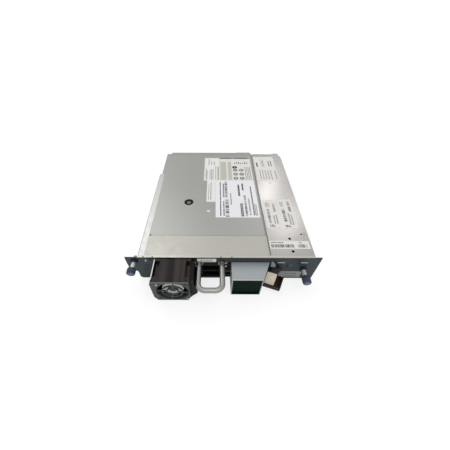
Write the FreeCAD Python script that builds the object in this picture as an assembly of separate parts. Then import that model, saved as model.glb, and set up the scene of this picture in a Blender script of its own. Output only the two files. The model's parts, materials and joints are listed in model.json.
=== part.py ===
import FreeCAD, Part
import math
import os

# Data tape drive in its sheet-metal sled, seen from the rear panel side.
# +X runs to the right along the rear panel, +Y runs from the rear panel to the
# cartridge mouth, +Z is up.  The origin lies on the underside of the sled floor,
# on the panel's centre line and halfway along the sled.

Vector = FreeCAD.Vector

# ------------------------------------------------------------ driving dimensions (mm)
# sled
panel_width = 228.2
panel_height = 43.2
panel_sheet = 1.2
hem_depth = 4.0
ear_left = 14.0
ear_right = 7.1
ear_corner = 2.6
ear_step = 9.1
ear_drop = 20.2
ear_slope = 9.0
sheet = 1.0
rail_flange = 8.0
rail_length = 170.0
far_wall_height = 12.0
far_wall_inset = 2.6
fit_gap = 0.3
fold_radius = 1.2

# tape drive
drive_width = 146.0
drive_length = 203.0
drive_height = 41.4
drive_lift = 0.6
rear_bay = 35.0
cast_wall = 3.0
deck_thick = 2.5
deck_height = 7.0
cover_sheet = 1.2
cover_skirt = 10.0
cover_lip = 0.5
drive_corner = 10.0
bezel_thick = 3.0

# channel beside the drive
channel_gap = 1.6
channel_short = 4.0
channel_drop = 0.8
channel_corner = 11.0
access_radius = 1.75
access_inset = 24.4
access_near = 10.7
access_far = 30.5

# screw pocket for the library frame's threaded bracket
pocket_length = 16.0
pocket_low = 8.0
pocket_high = 28.0

# cooling fan
fan_inset = 22.6
fan_drop = 1.2
fan_size = 40.0
fan_depth = 28.0
fan_wall = 1.0
fan_flange = 3.5
fan_notch = 5.0
guard_overhang = 3.2
guard_setback = 0.4
guard_thick = 4.0
guard_lip = 0.7
guard_ring_share = 0.68
guard_hub = 6.0
guard_wire = 1.4
guard_spoke_turn = 8.0
guard_chamfer_top = 3.7
guard_chamfer_low = 7.3
guard_chamfer_side = 3.6
blade_gap = 0.8
impeller_hub = 9.6
impeller_wall = 1.2
blade_count = 7
blade_thick = 0.9
blade_chord = 13.0
blade_camber = 1.2
blade_pitch_root = 38.0
blade_pitch_tip = 58.0
strut_count = 4
strut_width = 2.2
stator_thick = 3.0
spindle = 2.0
running_fit = 0.06
bracket_gap = 1.4
bracket_foot = 9.0
bracket_low = 3.0
bracket_high = 0.5
shroud_width = 7.6
shroud_wall = 1.4
shroud_chamfer = 7.0

# pull handle
handle_offset = 9.1
handle_span = 27.0
handle_drop = 10.0
handle_reach = 36.0
handle_rod = 3.1
handle_neck = 2.5
handle_neck_length = 6.0
handle_bend = 8.0
handle_thread = 7.0
nut_flats = 8.0
nut_thick = 3.2
washer_radius = 3.8

# data ports between the handle's legs
port_width = 23.0
port_pitch = 11.6
port_height = 9.0
port_depth = 18.0
port_socket_depth = 14.0
port_wall = 1.3
port_screw_radius = 1.6
port_key_width = 12.0
port_key_height = 2.0
port_key_start = 9.0
bottom_notch = 13.7

# hood over the rear connector
hood_offset = 10.9
hood_reach = 24.0
hood_root = 45.3
hood_mouth = 35.3
hood_drop = 8.5
hood_low = 1.2
hood_front_set = 1.6
hood_front_thick = 1.2

# plug and its holder on the hood's slanted wall
holder_width = 20.0
holder_reach = 21.7
holder_low = 3.0
holder_top = 15.0
holder_wall = 1.6
plug_length = 12.4
plug_width = 11.4
plug_top = 27.0
plug_set = 1.4
plug_seat = 7.0
plug_fit = 0.1
lead_radius = 0.75
lead_count = 4
lead_pitch = 2.1
lead_offset = 7.7
lead_drop = 18.6
lead_sides = 8
lead_stub = 3.0
clip_width = 12.0
clip_height = 7.0
clip_thick = 2.0

# captive thumbscrews
screw_left_inset = 9.3
screw_left_drop = 7.3
screw_right_inset = 15.9
screw_right_drop = 22.2
knob_radius = 5.0
knob_length = 9.0
shank_cover = 2.0
drive_slot_width = 1.2
drive_slot_depth = 1.2
knob_stand = 7.0
knob_grooves = 12
groove_depth = 0.6
groove_width = 1.1
groove_stop = 1.4
screw_shank = 2.3
screw_core = 1.75
moulded_gap = 0.02
screw_tip = 5.0
ferrule_radius = 4.2
ferrule_length = 2.4
retainer_half = 3.4
retainer_thick = 1.0
panel_hole = 3.0

# mechanism inside the drive
slot_inset = 19.75
slot_sill = 0.5
slot_height = 23.0
reel_radius = 37.0
reel_hub = 22.0
reel_flange = 1.2
reel_low = 13.2
reel_height = 21.5
reel_inset = 3.0
reel_wall = 2.5
reel_ribs = 6
chuck_radius = 17.0
chuck_thick = 2.6
chuck_teeth = 12
chuck_back = 62.0
chuck_tooth = 5.0
chuck_gap = 1.1
motor_radius = 19.0
motor_thick = 4.6
tray_back = 30.0
tray_room = 7.0
tray_under = 1.9
tray_lip = 8.0
tray_travel = 10.0
tray_drop = 3.0
side_plate = 1.2
loader_travel = 20.0
loader_length = 120.0
loader_height = 18.0
loader_back = 45.0
gear_module = 0.8
gear_teeth = 16
gear_thick = 4.0
gear_backlash = 0.25
rack_depth = 4.0
gear_case_width = 12.0
gear_case_length = 34.0
gear_case_thick = 2.4
loader_can = 6.0
roller_radius = 5.2
roller_height = 16.0
roller_low = 17.0
roller_pin = 1.5
roller_inset = 8.8
head_width = 8.0
head_clear = 1.2
head_height = 14.0
head_low = 18.5
head_travel = 2.0
head_post_share = 0.65
head_thread = 1.2
head_nose = 3.0
door_thick = 1.6
door_pin = 1.2
door_ear = 2.4
door_ear_depth = 8.0
button_width = 8.0
button_height = 5.0
button_travel = 1.2
button_inset = 11.0
button_clear = 3.5
light_size = 1.8
light_pitch = 3.6
mouth_clear = 5.0
plug_room_width = 60.0
plug_room_height = 10.0
dish_side = 44.3
dish_reach = 63.8
dish_radius = 6.6
dish_depth = 1.4
grommet_bore = 2.9

# boards
board_thick = 1.6
board_clear = 1.5
board_edge = 6.0
board_inset = 2.5
board_end = 16.0
mate_width = 40.0
mate_depth = 6.0
mate_height = 12.0
coil_side = 12.0
coil_height = 8.0
bay_rim = 6.0
chip_large = 15.0
chip_small = 11.0
chip_thick = 1.4
chip_pitch = 42.0
chip_near = 26.0
chip_far = 88.0
can_radius = 4.0
can_height = 12.0
standoff_flats = 4.5
standoff_height = 2.6
standoff_inset = 4.0

# ------------------------------------------------------------ places worked out from them
rear = -(rear_bay + drive_length) / 2.0
top = panel_height
body_left = -panel_width / 2.0 + ear_left
drive_left = body_left + rail_flange + fit_gap
drive_right = drive_left + drive_width
drive_centre = (drive_left + drive_right) / 2.0
drive_rear = rear + rear_bay
drive_mouth = drive_rear + drive_length
drive_low = sheet + drive_lift
drive_top = drive_low + drive_height
channel_left = drive_right + channel_gap
body_right = panel_width / 2.0 - ear_right
channel_top = top - channel_drop
channel_end = drive_mouth - channel_short
rail_end = rear + rail_length
rail_top = top - sheet
panel_back = rear + panel_sheet
cast_top = drive_top - cover_sheet
cast_end = drive_mouth - bezel_thick
deck_low = drive_low + deck_height
deck_top = deck_low + deck_thick
fan_axis_x = body_left + fan_inset + fan_size / 2.0
fan_axis_z = top - fan_drop - fan_size / 2.0
fan_right = fan_axis_x + fan_size / 2.0
fan_bore = fan_size / 2.0 - fan_wall
impeller_tip = fan_bore - blade_gap
guard_opening = fan_bore - guard_lip
guard_ring = guard_opening * guard_ring_share
handle_left = fan_right + handle_offset
handle_right = handle_left + handle_span
handle_z = top - handle_drop
hood_left = handle_right + hood_offset
hood_right_root = hood_left + hood_root
hood_right_front = hood_left + hood_mouth
lead_outlet_x = hood_right_root + lead_offset
lead_outlet_z = top - lead_drop
screw_left_x = -panel_width / 2.0 + screw_left_inset
screw_left_z = top - screw_left_drop
screw_right_x = panel_width / 2.0 - screw_right_inset
screw_right_z = top - screw_right_drop
fan_face = rear - fan_depth
reel_y = drive_rear + cast_wall + reel_inset + reel_radius
chuck_y = drive_mouth - chuck_back
tray_end = drive_mouth - tray_back
tray_start = reel_y + reel_radius + tray_travel + tray_room
tray_floor_z = deck_top + tray_drop + tray_under
slot_low = tray_floor_z + slot_sill
slot_left = drive_left + slot_inset
slot_right = drive_right - slot_inset
head_room = reel_radius - 2.8 * roller_radius
head_length = head_room - 2.0 * head_clear
head_post_pitch = head_length * head_post_share
tray_half = (slot_right - slot_left) / 2.0 + side_plate
slot_top = slot_low + slot_height
hood_top = top - hood_drop
ports_x = (handle_left + handle_right) / 2.0
port_low = sheet + standoff_height + board_thick
ports_high = port_low + port_pitch + port_height + 2.0 * port_wall


# ------------------------------------------------------------ small builders
def box(x0, x1, y0, y1, z0, z1):
    """Block between two opposite corners."""
    return Part.makeBox(x1 - x0, y1 - y0, z1 - z0, Vector(x0, y0, z0))


def rod(radius, start, end):
    """Round bar between two points."""
    first = Vector(*start)
    run = Vector(*end) - first
    return Part.makeCylinder(radius, run.Length, first, run)


def ring(outer, inner, start, end):
    """Round tube between two points."""
    return rod(outer, start, end).cut(rod(inner, start, end))


def polygon_face(points):
    """Flat face inside a closed run of 3-D points."""
    corners = [Vector(*point) for point in points]
    return Part.Face(Part.makePolygon(corners + corners[:1]))


def plan_prism(points, z0, z1):
    """Plan outline in X and Y, raised from z0 to z1."""
    return polygon_face([(x, y, z0) for x, y in points]).extrude(Vector(0, 0, z1 - z0))


def face_prism(points, y0, y1):
    """Outline in X and Z, drawn along Y from y0 to y1."""
    return polygon_face([(x, y0, z) for x, z in points]).extrude(Vector(0, y1 - y0, 0))


def joined(shapes):
    """One solid from pieces that touch or overlap."""
    return shapes[0].multiFuse(shapes[1:]).removeSplitter()


def cut_all(shape, tools):
    """Shape with every tool taken away."""
    for tool in tools:
        shape = shape.cut(tool)
    return shape


def round_edges(shape, radius, chosen):
    """Fillet the straight edges whose middle point passes the test."""
    edges = [edge for edge in shape.Edges if chosen(edge.CenterOfMass, edge)]
    return shape.makeFillet(radius, edges)


def upright_at(x, y):
    """Test for an upright edge at one place in plan."""
    def chosen(middle, edge):
        upright = abs(edge.BoundBox.ZLength - edge.Length) < 1e-6
        return upright and abs(middle.x - x) < 1e-3 and abs(middle.y - y) < 1e-3
    return chosen


def hexagon_prism(flats, x, z, y0, y1):
    """Hexagon nut blank on a Y axis."""
    corner = flats / math.sqrt(3.0)
    turns = [math.radians(60.0 * step) for step in range(6)]
    return face_prism([(x + corner * math.cos(a), z + corner * math.sin(a)) for a in turns], y0, y1)


def group(shapes):
    """Separate like solids kept together as one set."""
    return Part.makeCompound(shapes)


# ------------------------------------------------------------ sled
def sled_tray():
    """Folded floor with the left guide rail and the channel's outer wall."""
    far_left = body_left + far_wall_inset
    outline = [(body_left, panel_back), (body_right, panel_back), (body_right, channel_end),
               (far_left, channel_end), (far_left, rail_end), (body_left, rail_end)]
    floor = plan_prism(outline, 0.0, sheet)
    floor = round_edges(floor, channel_corner, upright_at(body_right, channel_end))
    wall = box(body_left, body_left + sheet, panel_back, rail_end, 0.0, rail_top)
    flange = box(body_left, body_left + rail_flange, panel_back, rail_end, rail_top - sheet, rail_top)
    far_wall = box(far_left, far_left + sheet, rail_end, channel_end, 0.0, far_wall_height)
    right_wall = box(body_right - sheet, body_right, panel_back, channel_end - channel_corner,
                     0.0, channel_top - sheet)
    tray = joined([floor, wall, flange, far_wall, right_wall])

    def long_fold(middle, edge):
        left = abs(middle.x - body_left) < 1e-3 and abs(edge.BoundBox.YLength - edge.Length) < 1e-6
        return left and (middle.z < 1e-3 or abs(middle.z - rail_top) < 1e-3)

    tray = round_edges(tray, fold_radius, long_fold)
    pocket = box(body_right - 2.0 * sheet, body_right + sheet, panel_back, panel_back + pocket_length,
                 pocket_low, pocket_high)
    return tray.cut(pocket)


def rear_panel():
    """Rear panel with its ears, inward hem and every cut-out."""
    left = -panel_width / 2.0
    right = panel_width / 2.0
    step_z = top - ear_drop
    notch_left = handle_right + handle_rod
    notch = [(hood_left, 0.0), (hood_left, bottom_notch), (notch_left, bottom_notch), (notch_left, 0.0)]
    outline = [(left, top), (right, top), (right, 0.0)] + notch
    outline += [(left + ear_step + ear_corner, 0.0), (left + ear_step, ear_corner),
                (left + ear_step, step_z - ear_slope), (left, step_z)]
    plate = face_prism(outline, rear, panel_back)
    hem = box(body_left + fold_radius, body_right - fold_radius, rear, rear + hem_depth, top - sheet, top)
    reliefs = [box(x - 0.6, x + 0.6, rear + panel_sheet, rear + hem_depth + 1.0, top - sheet, top)
               for x in (drive_left, fan_axis_x - fan_size / 2.0 - bracket_gap, handle_right, hood_left)]
    lances = [box(x - 4.5, x + 4.5, rear - 0.8, rear, z - 0.7, z + 0.7)
              for x, z in ((hood_right_root + 9.0, top - hood_drop), (body_right - 11.0, top - hood_drop))]
    panel = joined([plate, hem] + lances)
    through = rear - 2.0
    inside = panel_back + 2.0
    outlet = lead_pitch * lead_count / 2.0 + lead_radius
    cuts = [rod(fan_bore, (fan_axis_x, through, fan_axis_z), (fan_axis_x, inside, fan_axis_z)),
            box(ports_x - port_width / 2.0 - 0.2, ports_x + port_width / 2.0 + 0.2, through, inside,
                port_low - 0.2, ports_high + 0.2),
            box(hood_left + 6.0, hood_right_front, through, inside, 8.0, hood_top - 6.0),
            box(lead_outlet_x - outlet, lead_outlet_x + outlet, through, inside,
                lead_outlet_z - 2.0 * lead_radius, lead_outlet_z + 2.0 * lead_radius),
            box(light_x() - 0.8, light_x() + 0.8, through, inside, light_z() - 1.7, light_z() + 1.7)]
    cuts += [rod(handle_neck + 0.15, (x, through, handle_z), (x, inside, handle_z))
             for x in (handle_left, handle_right)]
    cuts += [rod(panel_hole, (x, through, z), (x, inside, z)) for x, z in thumbscrew_axes()]
    return cut_all(panel, cuts + reliefs)


def light_x():
    """Status light's place, a third of the way from the lead clip to the right thumbscrew."""
    start = lead_outlet_x + clip_width / 2.0
    return start + (screw_right_x - ferrule_radius - start) / 3.0


def light_z():
    """Status light's height on the panel."""
    return top - 16.1


def status_light():
    """Clear light pipe pressed through the panel's slot."""
    x, z = light_x(), light_z()
    lens = box(x - 0.7, x + 0.7, rear - 0.3, panel_back, z - 1.6, z + 1.6)
    base = box(x - 2.2, x + 2.2, panel_back, panel_back + 2.0, z - 2.6, z + 2.6)
    return joined([lens, base])


def rear_cover():
    """Lift-off plate over the bay between the rear panel and the drive."""
    start = rear + hem_depth
    end = drive_rear - fit_gap
    right = drive_right - fit_gap
    plate = box(drive_left, right, start, end, drive_top - sheet, drive_top)
    skirts = [box(x, x + sheet, start, end, drive_top - cover_skirt, drive_top)
              for x in (drive_left, right - sheet)]
    lip = box(right - 2.0 * sheet, right, start, end, drive_top, drive_top + cover_lip)
    return joined([plate, lip] + skirts)


def channel_cover():
    """Cover over the board channel, with its inner wall and rounded far corner."""
    outline = [(channel_left, panel_back), (body_right, panel_back), (body_right, channel_end),
               (channel_left, channel_end)]
    outer = round_edges(plan_prism(outline, sheet, channel_top), channel_corner,
                        upright_at(body_right, channel_end))
    inner_outline = [(channel_left + sheet, panel_back - 1.0), (body_right - sheet, panel_back - 1.0),
                     (body_right - sheet, channel_end - sheet), (channel_left + sheet, channel_end - sheet)]
    inner = round_edges(plan_prism(inner_outline, 0.0, channel_top - sheet), channel_corner - sheet,
                        upright_at(body_right - sheet, channel_end - sheet))
    side = box(body_right - 1.5 * sheet, body_right + sheet, panel_back - 1.0,
               channel_end - channel_corner + fit_gap, 0.0, channel_top - sheet)
    hem_room = box(channel_left - 1.0, body_right + 1.0, rear, rear + hem_depth, top - sheet, top)
    x = body_right - access_inset
    drills = [rod(access_radius, (x, rear + reach, channel_top - 3.0), (x, rear + reach, channel_top + 3.0))
              for reach in (access_near, access_far)]
    return cut_all(outer, [inner, side, hem_room] + drills)


# ------------------------------------------------------------ cooling fan
def fan_corner_places():
    """Four corners of the fan housing."""
    reach = fan_size / 2.0
    return [(fan_axis_x + sx * reach, fan_axis_z + sz * reach) for sx in (-1, 1) for sz in (-1, 1)]


def fan_frame():
    """Square fan housing with a round bore, open corners, struts and motor seat."""
    half = fan_size / 2.0
    body = box(fan_axis_x - half, fan_axis_x + half, fan_face, rear, fan_axis_z - half, fan_axis_z + half)
    bore = rod(fan_bore, (fan_axis_x, fan_face - 1.0, fan_axis_z), (fan_axis_x, rear + 1.0, fan_axis_z))
    notches = []
    for x, z in fan_corner_places():
        notches.append(box(x - fan_notch, x + fan_notch, fan_face + fan_flange, rear - fan_flange,
                           z - fan_notch, z + fan_notch))
    body = cut_all(body, [bore] + notches)
    struts = []
    for step in range(strut_count):
        strut = box(impeller_hub - 1.0, fan_bore + 0.3, rear - stator_thick, rear,
                    -strut_width / 2.0, strut_width / 2.0)
        strut.rotate(Vector(0, 0, 0), Vector(0, 1, 0), 45.0 + 360.0 / strut_count * step)
        strut.translate(Vector(fan_axis_x, 0, fan_axis_z))
        struts.append(strut)
    seat = rod(impeller_hub, (fan_axis_x, rear - stator_thick, fan_axis_z), (fan_axis_x, rear, fan_axis_z))
    post = rod(spindle, (fan_axis_x, fan_face + 7.0, fan_axis_z), (fan_axis_x, rear, fan_axis_z))
    stator = rod(impeller_hub - impeller_wall - 1.4, (fan_axis_x, fan_face + 12.0, fan_axis_z),
                 (fan_axis_x, rear - stator_thick, fan_axis_z))
    return joined([body, seat, post, stator] + struts)


def blade_section(radius, pitch):
    """Curved blade section, as a closed wire, at one radius from the fan's axis."""
    turn = math.radians(pitch)
    along = Vector(0, math.cos(turn), math.sin(turn))
    across = Vector(0, -math.sin(turn), math.cos(turn))
    half = blade_thick / 2.0
    mid = Vector(radius, 0, 0)
    upper = [mid + along * (blade_chord * s) + across * (blade_camber * (1.0 - 4.0 * s * s) + half)
             for s in (-0.5, 0.0, 0.5)]
    lower = [mid + along * (blade_chord * s) + across * (blade_camber * (1.0 - 4.0 * s * s) - half)
             for s in (0.5, 0.0, -0.5)]
    return Part.makePolygon(upper + lower + upper[:1])


def fan_impeller():
    """Cup-shaped hub with twisted, cambered blades, turning on the fan's spindle."""
    front = fan_face + 3.0
    back = rear - stator_thick - 0.6
    middle = (front + back) / 2.0
    hub = rod(impeller_hub, (0, front, 0), (0, back, 0))
    hollow = rod(impeller_hub - impeller_wall, (0, front + 6.0, 0), (0, back + 1.0, 0))
    blades = []
    for step in range(blade_count):
        blade = Part.makeLoft([blade_section(impeller_hub - 0.6, blade_pitch_root),
                               blade_section(impeller_tip + 1.0, blade_pitch_tip)], True, True)
        blade.rotate(Vector(0, 0, 0), Vector(0, 1, 0), 360.0 / blade_count * step)
        blade.translate(Vector(0, middle, 0))
        blades.append(blade)
    sweep = ring(impeller_tip, impeller_hub - 0.5, (0, front, 0), (0, back, 0))
    swept = [blade.common(sweep) for blade in blades]
    wheel = cut_all(joined([hub] + swept), [hollow])
    spigot = rod(spindle + 1.4, (0, front + 1.0, 0), (0, front + 8.0, 0))
    wheel = joined([wheel, spigot]).cut(rod(spindle + running_fit, (0, fan_face + 6.6, 0), (0, back, 0)))
    wheel.translate(Vector(fan_axis_x, 0, fan_axis_z))
    return wheel


def fan_guard():
    """Finger guard: a chamfered plate with a spoked ring over the bore."""
    x0, x1 = fan_axis_x - fan_size / 2.0 - guard_overhang, fan_right - guard_setback
    z0, z1 = fan_axis_z - fan_size / 2.0, fan_axis_z + fan_size / 2.0
    side = guard_chamfer_side
    outline = [(x0 + guard_chamfer_top, z1), (x1, z1), (x1, z0 + guard_chamfer_low), (x1 - side, z0),
               (x0 + side, z0), (x0, z0 + guard_chamfer_low), (x0, z1 - guard_chamfer_top)]
    plate = face_prism(outline, fan_face - guard_thick, fan_face)
    parts = [plate.cut(axial_rod(guard_opening, -1.0, guard_thick + 1.0))]
    for radius in (guard_ring, guard_hub + guard_wire):
        inner = axial_rod(radius - guard_wire, -1.0, guard_thick)
        parts.append(axial_rod(radius, 0.0, guard_wire).cut(inner))
    for step in range(strut_count):
        spoke = box(guard_hub, guard_opening + guard_wire / 3.0, fan_face - guard_thick,
                    fan_face - guard_thick + guard_wire, -guard_wire / 2.0, guard_wire / 2.0)
        spoke.rotate(Vector(0, 0, 0), Vector(0, 1, 0), guard_spoke_turn + 360.0 / strut_count * step)
        spoke.translate(Vector(fan_axis_x, 0, fan_axis_z))
        parts.append(spoke)
    return joined(parts)


def axial_rod(radius, start, end):
    """Round bar on the fan's axis, measured inward from the guard's outer face."""
    face = fan_face - guard_thick
    return rod(radius, (fan_axis_x, face + start, fan_axis_z), (fan_axis_x, face + end, fan_axis_z))


def fan_bracket():
    """Folded plate that stands beside the fan and is fixed to the panel."""
    wall_x = fan_axis_x - fan_size / 2.0 - bracket_gap
    low = fan_axis_z - fan_size / 2.0 + bracket_low
    high = fan_axis_z + fan_size / 2.0 - bracket_high
    wall = box(wall_x - sheet, wall_x, fan_face, rear, low, high)
    foot = box(wall_x - bracket_foot, wall_x, rear - sheet, rear, low, high)
    return joined([wall, foot])


def fan_shroud():
    """Moulded side channel beside the fan, waisted past the handle, with a sloping lower edge."""
    x0 = fan_right
    x1 = x0 + shroud_width
    waist_x = handle_left - washer_radius - 3.0 * fit_gap
    waist_z = handle_z - handle_rod - 2.0
    z0 = fan_axis_z - fan_size / 2.0
    z1 = fan_axis_z + fan_size / 2.0 - 1.0
    slope_z = z0 + shroud_chamfer + 3.0
    far = rear - port_screw_radius - 2.0 * fit_gap
    outline = [(x0, z1), (waist_x, z1), (waist_x, waist_z), (x1, waist_z - 2.0), (x1, slope_z),
               (x0, z0 + 1.5)]
    body = face_prism(outline, fan_face, far)
    wall = shroud_wall
    inner = [(x0 + wall, z1 - wall), (waist_x - wall, z1 - wall), (waist_x - wall, waist_z - wall),
             (x1 - wall, waist_z - 2.0 - wall), (x1 - wall, slope_z + 0.5), (x0 + wall, z0 + 4.0)]
    hollow = face_prism(inner, fan_face + wall, far + 1.0)
    return body.cut(hollow)


# ------------------------------------------------------------ pull handle and ports
def handle_bar():
    """U-shaped round bar made of straight runs and two quarter bends."""
    start_y = rear - handle_neck_length
    end_y = rear - handle_reach
    bend = handle_bend
    left, right, z = handle_left, handle_right, handle_z
    runs = [rod(handle_rod, (left, start_y, z), (left, end_y + bend, z)),
            rod(handle_rod, (left + bend, end_y, z), (right - bend, end_y, z)),
            rod(handle_rod, (right, end_y + bend, z), (right, start_y, z))]
    for x, side in ((left + bend, -1.0), (right - bend, 1.0)):
        centre = Vector(x, end_y + bend, z)
        section = Part.Circle(centre + Vector(side * bend, 0, 0), Vector(0, 1, 0), handle_rod)
        disc = Part.Face(Part.Wire(section.toShape()))
        runs.append(disc.revolve(centre, Vector(0, 0, 1), -90.0 * side))
    return joined(runs)


def pull_handle():
    """Bent round bar with necked, threaded legs."""
    legs = [rod(handle_neck, (x, rear - handle_neck_length, handle_z),
                (x, panel_back + handle_thread, handle_z)) for x in (handle_left, handle_right)]
    return joined([handle_bar()] + legs)


def handle_nuts():
    """Nut behind the panel on each leg."""
    nuts = []
    for x in (handle_left, handle_right):
        nut = hexagon_prism(nut_flats, x, handle_z, panel_back, panel_back + nut_thick)
        nuts.append(nut.cut(rod(handle_neck + running_fit, (x, rear, handle_z),
                                (x, panel_back + handle_thread, handle_z))))
    return group(nuts)


def port_cage():
    """Stacked pair of shielded cable sockets."""
    x0, x1 = ports_x - port_width / 2.0, ports_x + port_width / 2.0
    body = box(x0, x1, rear, rear + port_depth, port_low, ports_high)
    sockets = []
    for level in range(2):
        low = port_low + port_wall + level * port_pitch
        sockets.append(box(x0 + port_wall, x1 - port_wall, rear - 1.0, rear + port_socket_depth,
                           low, low + port_height))
    body = cut_all(body, sockets)
    half = port_key_width / 2.0
    key_low = port_low + port_wall
    keys = [box(ports_x - half, ports_x + half, rear + port_key_start, rear + port_socket_depth,
                low, low + port_key_height) for low in (key_low, key_low + port_pitch)]
    return joined([body] + keys)


# ------------------------------------------------------------ hood, plug and leads
def hood_outline(inset, front):
    """Plan of the hood, moved in from its walls by an inset, with its front at a given reach."""
    run = Vector(hood_right_front - hood_right_root, -hood_reach, 0)
    lean = inset * run.Length / hood_reach
    slope = (hood_right_front - hood_right_root) / hood_reach
    left = hood_left + inset
    right_root = hood_right_root - lean
    return [(left, rear + 0.0), (left, rear - front), (right_root + slope * front, rear - front),
            (right_root, rear)]


def hood():
    """Sheet-metal hood: top, bottom and two sides, one of them slanted, open to the front."""
    outer = plan_prism(hood_outline(0.0, hood_reach), hood_low, hood_top)
    inner = plan_prism(hood_outline(sheet, hood_reach + 0.001), hood_low + sheet, hood_top - sheet)
    slope = (hood_right_front - hood_right_root) / hood_reach
    mouth = [(hood_left + sheet, rear - hood_reach - 2.0), (hood_left + sheet, rear - hood_reach + 0.5),
             (hood_right_front - 2.0 * sheet - slope * 0.5, rear - hood_reach + 0.5),
             (hood_right_front - 2.0 * sheet, rear - hood_reach - 2.0)]
    clear = plan_prism(mouth, hood_low + sheet, hood_top - sheet)
    return cut_all(outer, [inner, clear])


def hood_front():
    """Dark plate set a little way back inside the hood's mouth."""
    near = hood_reach - hood_front_set
    shape = plan_prism(hood_outline(sheet + plug_fit, near), hood_low + sheet + plug_fit,
                       hood_top - sheet - plug_fit)
    behind = box(hood_left, hood_right_root, rear - near + hood_front_thick, rear + 1.0, 0.0, top)
    return shape.cut(behind)


def slant_frame():
    """Origin, outward normal and forward direction of the hood's slanted wall."""
    along = Vector(hood_right_front - hood_right_root, -hood_reach, 0)
    along.normalize()
    normal = Vector(-along.y, along.x, 0)
    return Vector(hood_right_root, rear, 0), normal, along


def slant_prism(out0, out1, fwd0, fwd1, z0, z1):
    """Block set square to the slanted wall: outward, then forward, then up."""
    origin, normal, along = slant_frame()
    corners = [origin + normal * a + along * b for a, b in
               ((out0, fwd0), (out1, fwd0), (out1, fwd1), (out0, fwd1))]
    return plan_prism([(corner.x, corner.y) for corner in corners], z0, z1)


def plug_span():
    """Outward and forward limits of the plug beside the slanted wall."""
    fwd1 = holder_width
    return plug_set, plug_set + plug_width, fwd1 - plug_length, fwd1 - plug_set


def plug_holder():
    """Black socket housing on the hood's slanted wall."""
    body = slant_prism(0.0, holder_reach, 1.0, holder_width, holder_low, holder_top)
    out0, out1, fwd0, fwd1 = plug_span()
    well = slant_prism(out0 - plug_fit, out1 + plug_fit, fwd0 - plug_fit, fwd1 + plug_fit,
                       plug_seat - plug_fit, holder_top + 1.0)
    side = slant_prism(out1 + 2.0 * holder_wall, holder_reach - holder_wall, 1.0 + holder_wall,
                       holder_width - holder_wall, plug_seat, holder_top + 1.0)
    return cut_all(body, [well, side])


def lead_plug():
    """White plug seated in the holder."""
    out0, out1, fwd0, fwd1 = plug_span()
    body = slant_prism(out0, out1, fwd0, fwd1, plug_seat, plug_top)
    step = slant_prism(out0 - 1.0, out1 + 1.0, fwd0 - 1.0, fwd0 + 1.2, plug_top - 2.0, plug_top + 1.0)
    return body.cut(step)


def lead_route(index):
    """Points of one lead, from behind the panel to the plug's rear face."""
    origin, normal, along = slant_frame()
    out0, out1, fwd0, fwd1 = plug_span()
    shift = (index - (lead_count - 1) / 2.0) * lead_pitch
    entry = origin + normal * ((out0 + out1) / 2.0 + shift) + along * fwd0
    z_plug = plug_top - 5.0
    return [Vector(lead_outlet_x + shift, panel_back + lead_stub, lead_outlet_z),
            Vector(lead_outlet_x + shift, rear - 3.4, lead_outlet_z),
            Vector(entry.x, entry.y, z_plug) - along * 3.4,
            Vector(entry.x, entry.y, z_plug)]


def tangent_wire(points):
    """Straight runs joined by tangent arcs, each as large as its runs allow."""
    edges = []
    here = points[0]
    for before, corner, after in zip(points, points[1:], points[2:]):
        back = (before - corner).normalize()
        ahead = (after - corner).normalize()
        turn = math.pi - back.getAngle(ahead)
        trim = 0.45 * min((before - corner).Length, (after - corner).Length)
        radius = trim / math.tan(turn / 2.0)
        start, end = corner + back * trim, corner + ahead * trim
        bisector = (back + ahead).normalize()
        middle = corner + bisector * (radius / math.cos(turn / 2.0) - radius)
        edges.append(Part.LineSegment(here, start).toShape())
        edges.append(Part.Arc(start, middle, end).toShape())
        print("lead bend radius %.1f mm" % radius)
        here = end
    edges.append(Part.LineSegment(here, points[-1]).toShape())
    return Part.Wire(edges)


def lead_profile(start):
    """Nearly round lead section across the Y axis."""
    turns = [2.0 * math.pi * (side + 0.5) / lead_sides for side in range(lead_sides)]
    corners = [start + Vector(lead_radius * math.cos(a), 0, lead_radius * math.sin(a)) for a in turns]
    return Part.makePolygon(corners + corners[:1])


def plug_leads():
    """Four insulated leads from the panel to the plug."""
    leads = []
    for index in range(lead_count):
        points = lead_route(index)
        wire = tangent_wire(points)
        leads.append(wire.makePipeShell([lead_profile(points[0])], True, True))
    return group(leads)


def lead_clip():
    """Nylon clip above the leads' outlet."""
    x, z = lead_outlet_x, lead_outlet_z + lead_radius + fit_gap
    block = box(x - clip_width / 2.0, x + clip_width / 2.0, rear - clip_thick, rear, z, z + clip_height)
    slot = box(x - clip_width / 2.0 + 2.0, x + clip_width / 2.0 - 2.0, rear - clip_thick - 1.0, rear - 0.8,
               z + 2.0, z + clip_height - 2.0)
    return block.cut(slot)


# ------------------------------------------------------------ captive thumbscrews
def thumbscrew_axes():
    """X and Z of the left and right thumbscrew."""
    return (screw_left_x, screw_left_z), (screw_right_x, screw_right_z)


def knob(x, z):
    """Ribbed plastic knob moulded round the screw's shank."""
    far = rear - knob_stand - knob_length
    near = rear - knob_stand
    blank = rod(knob_radius, (x, far, z), (x, near, z))
    grooves = []
    for step in range(knob_grooves):
        groove = face_prism([(knob_radius - groove_depth, 0.0), (knob_radius + 0.5, -groove_width),
                             (knob_radius + 0.5, groove_width)], far + groove_stop, near - groove_stop)
        groove.rotate(Vector(0, 0, 0), Vector(0, 1, 0), 360.0 / knob_grooves * step)
        groove.translate(Vector(x, 0, z))
        grooves.append(groove)
    bore = rod(screw_shank + moulded_gap, (x, far + shank_cover, z), (x, near + 1.0, z))
    slot = box(x - knob_radius, x + knob_radius, far - 1.0, far + drive_slot_depth,
               z - drive_slot_width / 2.0, z + drive_slot_width / 2.0)
    return cut_all(blank, grooves + [bore, slot])


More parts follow.
